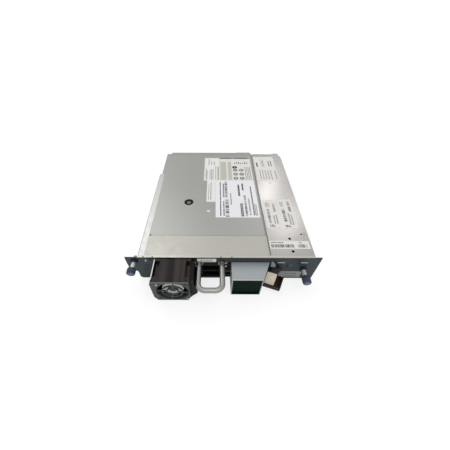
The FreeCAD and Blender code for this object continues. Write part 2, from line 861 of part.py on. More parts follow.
def shank(x, z):
    """Steel shank with its thinner threaded tip."""
    far = rear - knob_stand - knob_length + shank_cover + moulded_gap
    step = panel_back + fit_gap + retainer_thick + fit_gap
    tip = rod(screw_core, (x, step, z), (x, step + screw_tip, z))
    return joined([rod(screw_shank, (x, far, z), (x, step, z)), tip])


def ferrules():
    """Collared sleeves fixed in the panel, one for each thumbscrew."""
    pieces = []
    for x, z in thumbscrew_axes():
        sleeve = rod(ferrule_radius, (x, rear - ferrule_length, z), (x, rear, z))
        neck = rod(panel_hole, (x, rear, z), (x, panel_back, z))
        bore = rod(screw_shank + running_fit, (x, rear - ferrule_length - 1.0, z), (x, panel_back + 1.0, z))
        pieces.append(joined([sleeve, neck]).cut(bore))
    return group(pieces)


def retainer(x, z):
    """Square clip on the shank, behind the panel."""
    start = panel_back + fit_gap
    end = start + retainer_thick
    plate = box(x - retainer_half, x + retainer_half, start, end, z - retainer_half, z + retainer_half)
    return plate.cut(rod(screw_shank + running_fit, (x, start - 1.0, z), (x, end + 1.0, z)))


# ------------------------------------------------------------ drive casing
def drive_plan(y0, y1, z0, z1):
    """Slice of the drive's outer block, with its one large rounded corner."""
    block = box(drive_left, drive_right, drive_rear, drive_mouth, z0, z1)
    block = round_edges(block, drive_corner, upright_at(drive_left, drive_mouth))
    return block.common(box(drive_left - 1.0, drive_right + 1.0, y0, y1, z0, z1))


def drive_chassis():
    """Cast tub with a raised deck, a board bay below it and an open cartridge end."""
    outer = drive_plan(drive_rear, cast_end, drive_low, cast_top)
    well = box(drive_left + cast_wall, drive_right - cast_wall, drive_rear + cast_wall,
               cast_end - cast_wall, deck_top, cast_top + 1.0)
    well = round_edges(well, drive_corner - cast_wall,
                       upright_at(drive_left + cast_wall, cast_end - cast_wall))
    bay = box(drive_left + cast_wall + bay_rim, drive_right - cast_wall - bay_rim, drive_rear + cast_wall,
              cast_end - cast_wall - bay_rim, drive_low - 1.0, deck_low)
    mouth = box(slot_left - mouth_clear, slot_right + mouth_clear, cast_end - cast_wall - 1.0, cast_end + 1.0,
                deck_top, cast_top + 1.0)
    reach = button_width / 2.0 + button_clear
    button_room = box(button_x() - reach, button_x() + reach, cast_end - cast_wall - 1.0, cast_end + 1.0,
                      button_z() - button_height / 2.0 - button_clear, light_places()[-1][1] + button_clear)
    half = plug_room_width / 2.0
    plug_room = box(drive_centre - half, drive_centre + half, drive_rear - 1.0, drive_rear + cast_wall + 1.0,
                    deck_top, deck_top + plug_room_height)
    tub = cut_all(outer, [well, bay, mouth, button_room, plug_room])
    half = standoff_flats / 2.0
    bosses = [box(x - half, x + half, y - half, y + half, board_z() + board_thick, deck_low + 0.5)
              for x, y in board_screw_places()]
    tub = joined([tub] + bosses)
    x = drive_centre
    motors = [rod(motor_radius + running_fit, (x, y, deck_low - 1.0), (x, y, deck_top + 1.0))
              for y in (reel_y, chuck_y)]
    return cut_all(tub, motors)


def board_z():
    """Underside of the drive's main board."""
    return drive_low + 2.0


def board_screw_places():
    """Four bosses that carry the main board."""
    x0, x1, y0, y1 = main_board_limits()
    return corner_places((x0, x1, y0, y1), standoff_inset)


def main_board_limits():
    """Plan limits of the drive's main board, inside the bay under the deck."""
    edge = cast_wall + bay_rim + board_clear
    return drive_left + edge, drive_right - edge, drive_rear + edge, cast_end - edge


def main_board():
    """Drive's main circuit board with its larger chips, under the deck."""
    x0, x1, y0, y1 = main_board_limits()
    low = board_z()
    board = box(x0, x1, y0, y1, low, low + board_thick)
    chips = [box(drive_centre + side * chip_pitch - size / 2.0, drive_centre + side * chip_pitch + size / 2.0,
                 y0 + along, y0 + along + size, low + board_thick, low + board_thick + chip_thick)
             for side, along, size in ((1, chip_near, chip_large), (-1, chip_near, chip_small),
                                       (1, chip_far, chip_small), (-1, chip_far, chip_large))]
    return joined([board] + chips)


def drive_cover():
    """Pressed top cover with a dished seat for the rubber-mounted screw."""
    plate = drive_plan(drive_rear, cast_end, cast_top, drive_top)
    x, y = dish_place()
    dish = rod(dish_radius + 1.0, (x, y, cast_top - dish_depth - 1.0), (x, y, drive_top))
    hollow = rod(dish_radius, (x, y, cast_top - dish_depth), (x, y, drive_top + 1.0))
    return joined([plate, dish]).cut(hollow)


def dish_place():
    """Centre of the dished screw seat on the drive's cover."""
    return drive_left + dish_side, drive_rear + dish_reach


def cover_grommet():
    """Rubber ring in the cover's dish."""
    x, y = dish_place()
    return ring(dish_radius - running_fit, grommet_bore, (x, y, cast_top - dish_depth),
                (x, y, drive_top - 0.2))


def button_x():
    """Eject button's place across the bezel."""
    return drive_right - button_inset


def button_z():
    """Eject button's height on the bezel."""
    return slot_low + slot_height * 0.45


def drive_bezel():
    """Moulded front frame with the cartridge slot, door ears, button and light holes."""
    plate = drive_plan(cast_end, drive_mouth, drive_low, drive_top)
    plate = round_edges(plate, bezel_thick * 0.8, upright_at(drive_right, drive_mouth))
    slot = box(slot_left, slot_right, cast_end - 1.0, drive_mouth + 1.0, slot_low, slot_top)
    ears = [box(x0, x0 + door_ear, door_y() - door_ear_depth / 2.0, cast_end, door_z() - door_ear_depth,
                slot_top + door_pin) for x0 in (slot_left - door_ear, slot_right)]
    pin_holes = [rod(door_pin + running_fit, (slot_left - 2.0 * door_ear, door_y(), door_z()),
                     (slot_right + 2.0 * door_ear, door_y(), door_z()))]
    x, z = button_x(), button_z()
    window = box(x - button_width / 2.0 - fit_gap, x + button_width / 2.0 + fit_gap, cast_end - 1.0,
                 drive_mouth + 1.0, z - button_height / 2.0 - fit_gap, z + button_height / 2.0 + fit_gap)
    half = light_size / 2.0 + running_fit
    lights = [box(lx - half, lx + half, cast_end - 1.0, drive_mouth + 1.0, lz - half, lz + half)
              for lx, lz in light_places()]
    body = joined([plate] + ears)
    return cut_all(body, [slot, window] + pin_holes + lights)


def light_places():
    """Centres of the bezel's status lights."""
    return [(button_x(), button_z() + button_height / 2.0 + light_pitch * step) for step in (1, 2, 3)]


def front_lights():
    """Three light pipes in the bezel."""
    half = light_size / 2.0
    pipes = []
    for x, z in light_places():
        pipe = box(x - half, x + half, cast_end - 2.0, drive_mouth + 0.2, z - half, z + half)
        foot = box(x - half - 0.5, x + half + 0.5, cast_end - 2.0, cast_end, z - half - 0.5, z + half + 0.5)
        pipes.append(joined([pipe, foot]))
    return group(pipes)


def door_y():
    """Depth of the cartridge door's hinge line."""
    return cast_end - 4.0


def door_z():
    """Height of the cartridge door's hinge line."""
    return slot_top - 1.0


def cartridge_door():
    """Flap that closes the slot from inside, hung from its top edge."""
    gap = 0.4
    x0, x1 = slot_left + gap, slot_right - gap
    flap = box(x0, x1, door_y() - door_thick / 2.0, door_y() + door_thick / 2.0,
               slot_low + gap, door_z() + door_pin)
    flap = round_edges(flap, door_thick * 0.45,
                       lambda middle, edge: abs(edge.BoundBox.XLength - edge.Length) < 1e-6
                       and middle.z > door_z())
    pins = [rod(door_pin, (x0 - 2.2, door_y(), door_z()), (x0 + 1.0, door_y(), door_z())),
            rod(door_pin, (x1 - 1.0, door_y(), door_z()), (x1 + 2.2, door_y(), door_z()))]
    barrel = rod(door_pin, (x0, door_y(), door_z()), (x1, door_y(), door_z()))
    return joined([flap, barrel] + pins)


def eject_button():
    """Push button with a retaining flange behind the bezel."""
    x, z = button_x(), button_z()
    face = drive_mouth + button_travel - 0.4
    cap = box(x - button_width / 2.0, x + button_width / 2.0, cast_end - 0.6, face,
              z - button_height / 2.0, z + button_height / 2.0)
    cap = round_edges(cap, 0.6, lambda middle, edge: middle.y > face - 0.1)
    flange = box(x - button_width / 2.0 - 1.2, x + button_width / 2.0 + 1.2, cast_end - 1.6, cast_end - 0.5,
                 z - button_height / 2.0 - 1.2, z + button_height / 2.0 + 1.2)
    return joined([cap, flange])


# ------------------------------------------------------------ tape mechanism
def reel_motor(y):
    """Flat motor set in the deck, with the bore for a reel's spindle."""
    body = rod(motor_radius, (drive_centre, y, deck_top - motor_thick), (drive_centre, y, deck_top - 0.2))
    return body.cut(rod(spindle + running_fit, (drive_centre, y, deck_top - motor_thick + 1.0),
                        (drive_centre, y, deck_top + 1.0)))


def take_up_reel():
    """Reel with two flanges on a hub, turning on the take-up motor."""
    x, y = drive_centre, reel_y
    high = reel_low + reel_height
    flanges = [rod(reel_radius, (x, y, z), (x, y, z + reel_flange)) for z in (reel_low, high - reel_flange)]
    hub = rod(reel_hub, (x, y, reel_low), (x, y, high))
    shaft = rod(spindle, (x, y, deck_top - motor_thick + 1.4), (x, y, reel_low))
    notch = box(x + reel_hub - 4.0, x + reel_hub + 2.0, y - 3.0, y + 3.0, reel_low + reel_flange,
                high - reel_flange)
    cup = rod(reel_hub - reel_wall, (x, y, reel_low + reel_wall), (x, y, high + 1.0))
    ribs = []
    for step in range(reel_ribs):
        rib = box(0.0, reel_hub - reel_wall / 2.0, -reel_flange / 2.0, reel_flange / 2.0,
                  reel_low + 1.0, high - reel_wall)
        rib.rotate(Vector(0, 0, 0), Vector(0, 0, 1), 360.0 / reel_ribs * (step + 0.5))
        rib.translate(Vector(x, y, 0))
        ribs.append(rib)
    return joined([joined(flanges + [hub]).cut(cup), shaft] + ribs).cut(notch)


def supply_chuck():
    """Toothed chuck that takes hold of a cartridge's hub."""
    x, y = drive_centre, chuck_y
    low = deck_top + fit_gap
    high = low + chuck_thick
    disc = rod(chuck_radius, (x, y, low), (x, y, high))
    shaft = rod(spindle, (x, y, deck_top - motor_thick + 1.4), (x, y, high))
    gaps = []
    for step in range(chuck_teeth):
        gap = box(chuck_radius - chuck_tooth, chuck_radius + 1.0, -chuck_gap, chuck_gap,
                  high - chuck_gap, high + 1.0)
        gap.rotate(Vector(0, 0, 0), Vector(0, 0, 1), 360.0 / chuck_teeth * step)
        gap.translate(Vector(x, y, 0))
        gaps.append(gap)
    recess = rod(chuck_radius - chuck_tooth + 1.0, (x, y, low + 1.2), (x, y, high + 1.0))
    return joined([disc.cut(recess), shaft]).cut(group(gaps))


def roller_places():
    """Centres of the four tape guide rollers beside the take-up reel."""
    x = drive_left + cast_wall + roller_inset
    return [(x, reel_y + reel_radius + 1.6 * roller_radius), (x, reel_y + reel_radius - 1.0 * roller_radius),
            (x, reel_y - 0.2 * roller_radius), (x + 2.0 * roller_radius, reel_y - 3.0 * roller_radius)]


def roller_posts():
    """Fixed posts that the guide rollers turn on."""
    posts = []
    for x, y in roller_places():
        half = roller_radius - 1.0
        base = box(x - half, x + half, y - half, y + half, deck_top, roller_low - fit_gap)
        pin = rod(roller_pin, (x, y, deck_top), (x, y, roller_low + roller_height + 1.0))
        posts.append(joined([base, pin]))
    return group(posts)


def guide_roller(x, y):
    """Roller with a bore for its post."""
    return ring(roller_radius, roller_pin + running_fit, (x, y, roller_low),
                (x, y, roller_low + roller_height))


def head_centre():
    """Plan centre of the head's carriage."""
    return drive_left + cast_wall + 2.0 + head_width / 2.0, reel_y + 0.8 * roller_radius + head_room / 2.0


def head_base():
    """Base and guide posts of the head, fixed on the deck."""
    x, y = head_centre()
    high = head_low + head_height + head_travel + 2.0
    base = box(x - head_width / 2.0, x + head_width / 2.0, y - head_length / 2.0, y + head_length / 2.0,
               deck_top, head_low - head_travel - fit_gap)
    half = head_post_pitch / 2.0
    posts = [rod(roller_pin, (x, across, deck_top), (x, across, high)) for across in (y - half, y + half)]
    return joined([base] + posts).cut(rod(head_thread + running_fit, (x, y, deck_top + 1.0), (x, y, high)))


def tape_head():
    """Read and write head on its sliding block."""
    x, y = head_centre()
    high = head_low + head_height
    block = box(x - head_width / 2.0, x + head_width / 2.0, y - head_length / 2.0, y + head_length / 2.0,
                head_low, high)
    nose_x = x + head_width / 2.0 - 1.2
    nose = rod(head_nose, (nose_x, y, head_low + 1.0), (nose_x, y, high - 1.0))
    bores = [rod(roller_pin + running_fit, (x, y + s * head_post_pitch / 2.0, head_low - 1.0),
                 (x, y + s * head_post_pitch / 2.0, high + 1.0)) for s in (-1, 1)]
    thread = rod(head_thread + running_fit, (x, y, head_low - 1.0), (x, y, high + 1.0))
    return cut_all(joined([block, nose]), bores + [thread])


def head_screw():
    """Lead screw that raises and lowers the head."""
    x, y = head_centre()
    high = head_low + head_height + head_travel + 2.0
    return rod(head_thread, (x, y, deck_top + 1.2), (x, y, high))


def side_plates():
    """Two upright plates that carry the cartridge tray in and out."""
    x_in = tray_half - side_plate + fit_gap
    plates = []
    for side in (-1, 1):
        x0, x1 = sorted((drive_centre + side * x_in, drive_centre + side * (x_in + side_plate)))
        plate = box(x0, x1, tray_start, tray_end, deck_top + 0.2, cast_top - 1.0)
        slots = [box(x0 - 1.0, x1 + 1.0, y - 6.0, y + 6.0, tray_floor_z + 6.0, tray_floor_z + 10.0)
                 for y in (tray_start + 16.0, tray_end - 16.0)]
        plates.append(cut_all(plate, slots))
    return group(plates)


def cartridge_tray():
    """Open tray that takes the cartridge, cut away over the chuck."""
    half = tray_half - side_plate
    x0, x1 = drive_centre - half, drive_centre + half
    high = slot_top + 0.4
    floor = box(x0, x1, tray_start, tray_end, tray_floor_z, tray_floor_z + sheet)
    walls = [box(x, x + sheet, tray_start, tray_end, tray_floor_z, high) for x in (x0, x1 - sheet)]
    lips = [box(x0, x0 + tray_lip, tray_start, tray_end, high - sheet, high),
            box(x1 - tray_lip, x1, tray_start, tray_end, high - sheet, high)]
    stop = box(x0, x1, tray_start, tray_start + sheet, tray_floor_z, tray_floor_z + 8.0)
    clear = chuck_radius + 2.5
    opening = joined([rod(clear, (drive_centre, chuck_y, 0.0), (drive_centre, chuck_y, tray_floor_z + 4.0)),
                      box(drive_centre - clear, drive_centre + clear, chuck_y, tray_end + 1.0, 0.0,
                          tray_floor_z + 4.0)])
    return joined([floor, stop] + walls + lips).cut(opening)


def gear_outline(x, y):
    """Involute outline of the loader gear, with one tooth pointing along +X."""
    pitch = gear_module * gear_teeth / 2.0
    base = pitch * math.cos(math.radians(20.0))
    tip, root = pitch + 0.9 * gear_module, pitch - 1.25 * gear_module

    def involute(radius):
        bend = math.acos(min(1.0, base / radius))
        return math.tan(bend) - bend

    half = math.pi / (2.0 * gear_teeth) - gear_backlash / (2.0 * pitch) + involute(pitch)
    radii = [base + (tip - base) * step / 2.0 for step in range(3)]
    flank = [(root, half)] + [(radius, half - involute(radius)) for radius in radii]
    outline = []
    for tooth in range(gear_teeth):
        centre = 2.0 * math.pi * tooth / gear_teeth
        turns = [(r, centre - a) for r, a in flank] + [(r, centre + a) for r, a in reversed(flank)]
        outline += [(x + r * math.cos(a), y + r * math.sin(a)) for r, a in turns]
    return outline


def gear_place():
    """Centre of the loader gear beside the rack."""
    pitch = gear_module * gear_teeth / 2.0
    return loader_x() - rack_depth - pitch, drive_rear + loader_back + 25.0


def loader_x():
    """Inner face of the loader plate."""
    return drive_right - cast_wall - fit_gap - side_plate


def loader_gear():
    """Gear that drives the loader plate's rack."""
    x, y = gear_place()
    low = deck_top + 3.0
    wheel = plan_prism(gear_outline(x, y), low, low + gear_thick)
    return wheel.cut(rod(spindle + running_fit, (x, y, low - 1.0), (x, y, low + gear_thick + 1.0)))


def loader_slide():
    """Long plate with a rack, running along the drive's right wall."""
    x0 = loader_x()
    y0 = drive_rear + loader_back
    low = deck_top + 0.2
    plate = box(x0, x0 + side_plate, y0, y0 + loader_length, low, low + loader_height)
    slots = [box(x0 - 1.0, x0 + side_plate + 1.0, y0 + start, y0 + start + loader_travel + 2.0,
                 low + 8.0, low + 12.0) for start in (66.0, 94.0)]
    plate = cut_all(plate, slots)
    pitch = math.pi * gear_module
    teeth = math.ceil(loader_travel / pitch) + 7
    pitch_x = x0 - rack_depth
    gear_y = gear_place()[1]
    lean = math.tan(math.radians(20.0)) * gear_module
    add, ded = 0.9 * gear_module, 1.25 * gear_module
    half = pitch / 4.0 - gear_backlash / 2.0
    points = [(x0 + 0.2, gear_y - 4.1 * pitch), (x0 + 0.2, gear_y + (teeth - 3.9) * pitch)]
    for tooth in range(teeth - 1, -1, -1):
        centre = gear_y + (tooth - 3.5) * pitch
        points += [(pitch_x + ded, centre + half + lean * 1.25), (pitch_x - add, centre + half - lean * 0.9),
                   (pitch_x - add, centre - half + lean * 0.9), (pitch_x + ded, centre - half - lean * 1.25)]
    rack = plan_prism(points, deck_top + 3.2, deck_top + 6.8)
    return joined([plate, rack])


def loader_motor():
    """Gear motor on the deck, with the loader gear's shaft."""
    x, y = gear_place()
    side = gear_case_width / 2.0
    far = y - gear_case_length
    case = box(x - 1.6 * side, x + 0.8 * side, far, y + spindle + 2.0, deck_top, deck_top + gear_case_thick)
    axis_z = deck_top + loader_can + fit_gap
    can = rod(loader_can, (x - 0.4 * side, far, axis_z), (x - 0.4 * side, y - 1.6 * side, axis_z))
    cradle = box(x - 1.2 * side, x + 0.4 * side, far + 1.0, y - 1.8 * side, deck_top,
                 deck_top + loader_can - 1.0)
    shaft = rod(spindle, (x, y, deck_top), (x, y, deck_top + 3.0 + gear_thick + 1.5))
    return joined([case, cradle, can, shaft])


# ------------------------------------------------------------ boards in the sled
def board_limits():
    """Plan limits of the adapter board and the control board."""
    adapter = (ports_x - port_width / 2.0 - board_edge, drive_right - board_edge, panel_back + 1.0,
               drive_rear - board_clear)
    control = (channel_left + sheet + board_inset, body_right - sheet - board_inset, rear + rear_bay,
               channel_end - board_end)
    return adapter, control


def corner_places(limits, inset):
    """Four corner points inside a board's limits."""
    x0, x1, y0, y1 = limits
    return [(x, y) for x in (x0 + inset, x1 - inset) for y in (y0 + inset, y1 - inset)]


def circuit_board(limits):
    """Bare board plate at the standoffs' height."""
    x0, x1, y0, y1 = limits
    low = sheet + standoff_height
    return box(x0, x1, y0, y1, low, low + board_thick)


def board_standoffs():
    """Spacers that carry the two boards."""
    spacers = []
    for limits in board_limits():
        half = standoff_flats / 2.0
        for x, y in corner_places(limits, standoff_inset):
            spacers.append(box(x - half, x + half, y - half, y + half, sheet, sheet + standoff_height))
    return group(spacers)


def adapter_board():
    """Board behind the rear panel, with the drive's mating connector."""
    x0, x1, y0, y1 = board_limits()[0]
    low = sheet + standoff_height + board_thick
    board = circuit_board(board_limits()[0])
    mate = box(drive_centre - mate_width / 2.0, drive_centre + mate_width / 2.0, y1 - mate_depth, y1,
               low, low + mate_height)
    chips = [box(x1 - reach, x1 - reach + chip_small, y0 + chip_small, y0 + 2.0 * chip_small, low,
                 low + chip_thick) for reach in (2.0 * chip_small, 4.0 * chip_small)]
    return joined([board, mate] + chips)


def control_board():
    """Long board in the side channel, with chips, coils and capacitors."""
    x0, x1, y0, y1 = board_limits()[1]
    low = sheet + standoff_height + board_thick
    middle = (x0 + x1) / 2.0
    chips = [box(middle - size / 2.0, middle + size / 2.0, y0 + share * (y1 - y0),
                 y0 + share * (y1 - y0) + size, low, low + chip_thick)
             for share, size in ((0.12, 1.5 * chip_large), (0.36, chip_small), (0.54, chip_large))]
    coils = [box(x0 + board_edge, x0 + board_edge + coil_side, y1 - step * coil_side,
                 y1 - (step - 1.0) * coil_side, low, low + coil_height) for step in (2.0, 3.5)]
    can_x = x1 - board_edge - can_radius
    cans = [rod(can_radius, (can_x, y1 - step * can_radius, low),
                (can_x, y1 - step * can_radius, low + can_height)) for step in (4.0, 8.5)]
    header = box(x0 + board_inset, x0 + board_inset + mate_width / 2.0, y0 + board_inset,
                 y0 + board_inset + mate_depth, low, low + mate_height)
    return joined([circuit_board(board_limits()[1]), header] + chips + coils + cans)


# ------------------------------------------------------------ all pieces
def pieces():
    """Name and shape of every piece."""
    (left_x, left_z), (right_x, right_z) = thumbscrew_axes()
    table = {
        "sled_tray": sled_tray(),
        "rear_panel": rear_panel(),
        "rear_cover": rear_cover(),
        "channel_cover": channel_cover(),
        "status_light": status_light(),
        "fan_frame": fan_frame(),
        "fan_impeller": fan_impeller(),
        "fan_guard": fan_guard(),
        "fan_bracket": fan_bracket(),
        "fan_shroud": fan_shroud(),
        "pull_handle": pull_handle(),
        "handle_nuts": handle_nuts(),
        "port_cage": port_cage(),
        "hood": hood(),
        "hood_front": hood_front(),
        "plug_holder": plug_holder(),
        "lead_plug": lead_plug(),
        "plug_leads": plug_leads(),
        "lead_clip": lead_clip(),
        "ferrules": ferrules(),
        "left_knob": knob(left_x, left_z),
        "right_knob": knob(right_x, right_z),
        "left_shank": shank(left_x, left_z),
        "right_shank": shank(right_x, right_z),
        "left_retainer": retainer(left_x, left_z),
        "right_retainer": retainer(right_x, right_z),
        "drive_chassis": drive_chassis(),
        "main_board": main_board(),
        "drive_cover": drive_cover(),
        "cover_grommet": cover_grommet(),
        "drive_bezel": drive_bezel(),
        "front_lights": front_lights(),
        "cartridge_door": cartridge_door(),
        "eject_button": eject_button(),
        "take_up_motor": reel_motor(reel_y),
        "supply_motor": reel_motor(chuck_y),
        "take_up_reel": take_up_reel(),
        "supply_chuck": supply_chuck(),
        "roller_posts": roller_posts(),
        "head_base": head_base(),
        "tape_head": tape_head(),
        "head_screw": head_screw(),
        "side_plates": side_plates(),
        "cartridge_tray": cartridge_tray(),
        "loader_gear": loader_gear(),
        "loader_slide": loader_slide(),
        "loader_motor": loader_motor(),
        "board_standoffs": board_standoffs(),
        "adapter_board": adapter_board(),
        "control_board": control_board(),
    }
    for number, (x, y) in enumerate(roller_places(), start=1):
        table["guide_roller_%d" % number] = guide_roller(x, y)
    return table


def main():
    """Write one STEP file for each piece."""
    os.makedirs("parts", exist_ok=True)
    for name, shape in pieces().items():
        shape.exportStep("parts/%s.step" % name)
        print("%-20s solids %d valid %s" % (name, len(shape.Solids), shape.isValid()))


main()
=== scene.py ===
"""Data tape drive in its library sled: finishes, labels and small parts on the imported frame."""

import json
import logging
import math
from dataclasses import dataclass
from enum import Enum
from typing import Optional, Sequence

import bpy
import numpy as np
from mathutils import Matrix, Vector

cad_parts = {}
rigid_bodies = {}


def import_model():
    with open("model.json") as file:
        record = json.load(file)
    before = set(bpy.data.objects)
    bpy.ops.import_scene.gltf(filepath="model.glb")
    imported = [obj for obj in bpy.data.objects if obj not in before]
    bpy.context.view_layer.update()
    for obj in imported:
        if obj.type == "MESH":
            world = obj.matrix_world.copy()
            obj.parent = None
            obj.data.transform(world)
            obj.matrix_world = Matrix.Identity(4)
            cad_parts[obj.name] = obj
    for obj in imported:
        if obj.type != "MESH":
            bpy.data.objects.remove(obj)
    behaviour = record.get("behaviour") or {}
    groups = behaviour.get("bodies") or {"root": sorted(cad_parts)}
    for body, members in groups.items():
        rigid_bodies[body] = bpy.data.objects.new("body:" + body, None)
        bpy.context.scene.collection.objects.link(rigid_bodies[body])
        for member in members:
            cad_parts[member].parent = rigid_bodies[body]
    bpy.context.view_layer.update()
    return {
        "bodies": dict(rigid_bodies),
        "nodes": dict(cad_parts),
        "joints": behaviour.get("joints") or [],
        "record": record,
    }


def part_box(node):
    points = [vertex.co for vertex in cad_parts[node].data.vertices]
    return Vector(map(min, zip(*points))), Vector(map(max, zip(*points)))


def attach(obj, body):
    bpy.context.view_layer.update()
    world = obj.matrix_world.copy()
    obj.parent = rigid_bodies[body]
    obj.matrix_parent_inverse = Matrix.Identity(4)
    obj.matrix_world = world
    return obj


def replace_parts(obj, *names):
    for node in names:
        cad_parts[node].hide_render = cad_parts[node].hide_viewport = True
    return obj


log = logging.getLogger("tape_drive")

MM = 0.001
CIRCLE = 48
CORNER_STEPS = 6
SHARP_ANGLE = 35.0


# ------------------------------------------------------------ surfaces
@dataclass
class Surface:
    """A mesh in the making.

    Args:
        points: Corner places in millimetres, one row for each.
        faces: Corner numbers, one run for each face.
    """

    points: np.ndarray
    faces: list

    @staticmethod
    def merged(parts: Sequence["Surface"]) -> "Surface":
        """Several surfaces as one.

        Args:
            parts: The surfaces, in order.

        Returns:
            One surface that holds them all.
        """
        sizes = [len(part.points) for part in parts]
        starts = np.concatenate([[0], np.cumsum(sizes)[:-1]]).astype(int)
        faces = [tuple(int(i) + int(start) for i in face)
                 for part, start in zip(parts, starts) for face in part.faces]
        return Surface(np.concatenate([part.points for part in parts]), faces)

    def built(self, name: str, body: str, finishes: Sequence["Finish"], smooth: bool = False,
              slots: Optional[Sequence[int]] = None) -> bpy.types.Object:
        """Make the surface an object that rides on a body of the frame.

        Args:
            name: The piece's name.
            body: The body it moves with.
            finishes: One finish, or several for `slots` to choose from.
            smooth: True for round pieces, shaded by angle.
            slots: Number of each face's finish.

        Returns:
            The new object.
        """
        mesh = bpy.data.meshes.new(name)
        mesh.from_pydata((self.points * MM).tolist(), [], self.faces)
        mesh.validate()
        for finish in finishes:
            mesh.materials.append(finish.material())
        if slots is not None:
            mesh.polygons.foreach_set("material_index", np.asarray(slots, np.int32))
        if smooth:
            mesh.shade_smooth()
            mesh.set_sharp_from_angle(angle=math.radians(SHARP_ANGLE))
        mesh.update()
        obj = bpy.data.objects.new(name, mesh)
        bpy.context.scene.collection.objects.link(obj)
        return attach(obj, body)


def ring_faces(rings: int, around: int) -> list:
    """Faces that join rings of points in order, with a flat face at each end.

    Args:
        rings: Number of rings.
        around: Points on each ring.

    Returns:
        The side's quads, then the first and the last ring's face.
    """
    here = np.arange(around)
    ahead = (here + 1) % around
    starts = around * np.arange(rings - 1)[:, None]
    quads = np.stack([starts + here, starts + ahead, starts + ahead + around,
                      starts + here + around], 2).reshape(-1, 4)
    last = around * (rings - 1)
    return quads.tolist() + [here[::-1].tolist(), (here + last).tolist()]


def slabs(rects: Sequence[Sequence[float]], low: float, high: float) -> Surface:
    """Upright blocks over plan rectangles.

    Every block has eight corners, taken from the rectangle's four plan corners at the two
    heights, so all blocks come from one array of shape (blocks, 8, 3).

    Args:
        rects: Rows of x0, x1, y0, y1 in millimetres.
        low: Height of the undersides.
        high: Height of the tops.

    Returns:
        The blocks as one surface.
    """
    rects = np.asarray(rects, float).reshape(-1, 4)
    columns = np.array([[0, 2], [1, 2], [1, 3], [0, 3]])
    plan = rects[:, columns]
    heights = np.array([low, high])
    points = np.concatenate([np.concatenate([plan, np.full(plan.shape[:2] + (1,), z)], 2)
                             for z in heights], 1).reshape(-1, 3)
    block = np.array([[3, 2, 1, 0], [4, 5, 6, 7], [0, 1, 5, 4], [1, 2, 6, 5], [2, 3, 7, 6],
                      [3, 0, 4, 7]])
    faces = (block[None] + 8 * np.arange(len(rects))[:, None, None]).reshape(-1, 4)
    return Surface(points, faces.tolist())


def block(x0: float, x1: float, y0: float, y1: float, low: float, high: float) -> Surface:
    """One upright block.

    Args:
        x0: Left side.
        x1: Right side.
        y0: Near side.
        y1: Far side.
        low: Underside.
        high: Top.

    Returns:
        The block.
    """
    return slabs([(x0, x1, y0, y1)], low, high)


def rounded_slab(x0: float, x1: float, y0: float, y1: float, low: float, high: float,
                 radius: float) -> Surface:
    """Upright block with round plan corners.

    The outline is four quarter circles, (cx + r cos a, cy + r sin a), joined by straight runs.

    Args:
        x0: Left side.
        x1: Right side.
        y0: Near side.
        y1: Far side.
        low: Underside.
        high: Top.
        radius: Corner radius.

    Returns:
        The closed block.
    """
    turns = np.linspace(0.0, math.pi / 2.0, CORNER_STEPS)
    centres = np.array([[x1 - radius, y1 - radius], [x0 + radius, y1 - radius],
                        [x0 + radius, y0 + radius], [x1 - radius, y0 + radius]])
    angles = turns[None] + math.pi / 2.0 * np.arange(4)[:, None]
    ring = centres[:, None] + radius * np.stack([np.cos(angles), np.sin(angles)], 2)
    ring = ring.reshape(-1, 2)
    count = len(ring)
    points = np.concatenate([np.c_[ring, np.full(count, low)], np.c_[ring, np.full(count, high)]])
    return Surface(points, ring_faces(2, count))


def lathe(profile: Sequence[Sequence[float]], centre: Sequence[float], axis: str,
          segments: int = CIRCLE, ribs: int = 0, depth: float = 0.0) -> Surface:
    """Round piece turned from a profile, with ribs along it when asked.

    A profile point (r, h) becomes the curve centre + q (cos t u + sin t v) + h w, with w along
    the axis and q = r - depth (1 - |cos(ribs t / 2)|) for the profile's widest rows, q = r
    elsewhere. A flat face closes each end.

    Args:
        profile: Rows of radius and height, from one pole to the other, poles left out.
        centre: Foot of the axis.
        axis: "X", "Y" or "Z".
        segments: Points round each circle.
        ribs: Number of ribs.
        depth: Depth of the valleys between them.

    Returns:
        The closed surface.
    """
    rows = np.asarray(profile, float)
    order = {"X": (1, 2, 0), "Y": (2, 0, 1), "Z": (0, 1, 2)}[axis]
    turn = 2.0 * math.pi * np.arange(segments) / segments
    valley = depth * (1.0 - np.abs(np.cos(ribs * turn / 2.0)))
    reach = rows[:, :1] - valley * (rows[:, :1] > 0.95 * rows[:, 0].max())
    local = np.stack([reach * np.cos(turn), reach * np.sin(turn),
                      np.repeat(rows[:, 1:], segments, 1)], 2).reshape(-1, 3)
    points = np.zeros_like(local)
    points[:, order] = local
    return Surface(points + np.asarray(centre, float), ring_faces(len(rows), segments))


def disc(radius: float, low: float, high: float, centre: Sequence[float], axis: str,
         segments: int) -> Surface:
    """Plain round disc.

    Args:
        radius: Its radius.
        low: Start along the axis.
        high: End along the axis.
        centre: Foot of the axis.
        axis: "X", "Y" or "Z".
        segments: Points round its edge.

    Returns:
        The closed disc.
    """
    return lathe([(radius, low), (radius, high)], centre, axis, segments)


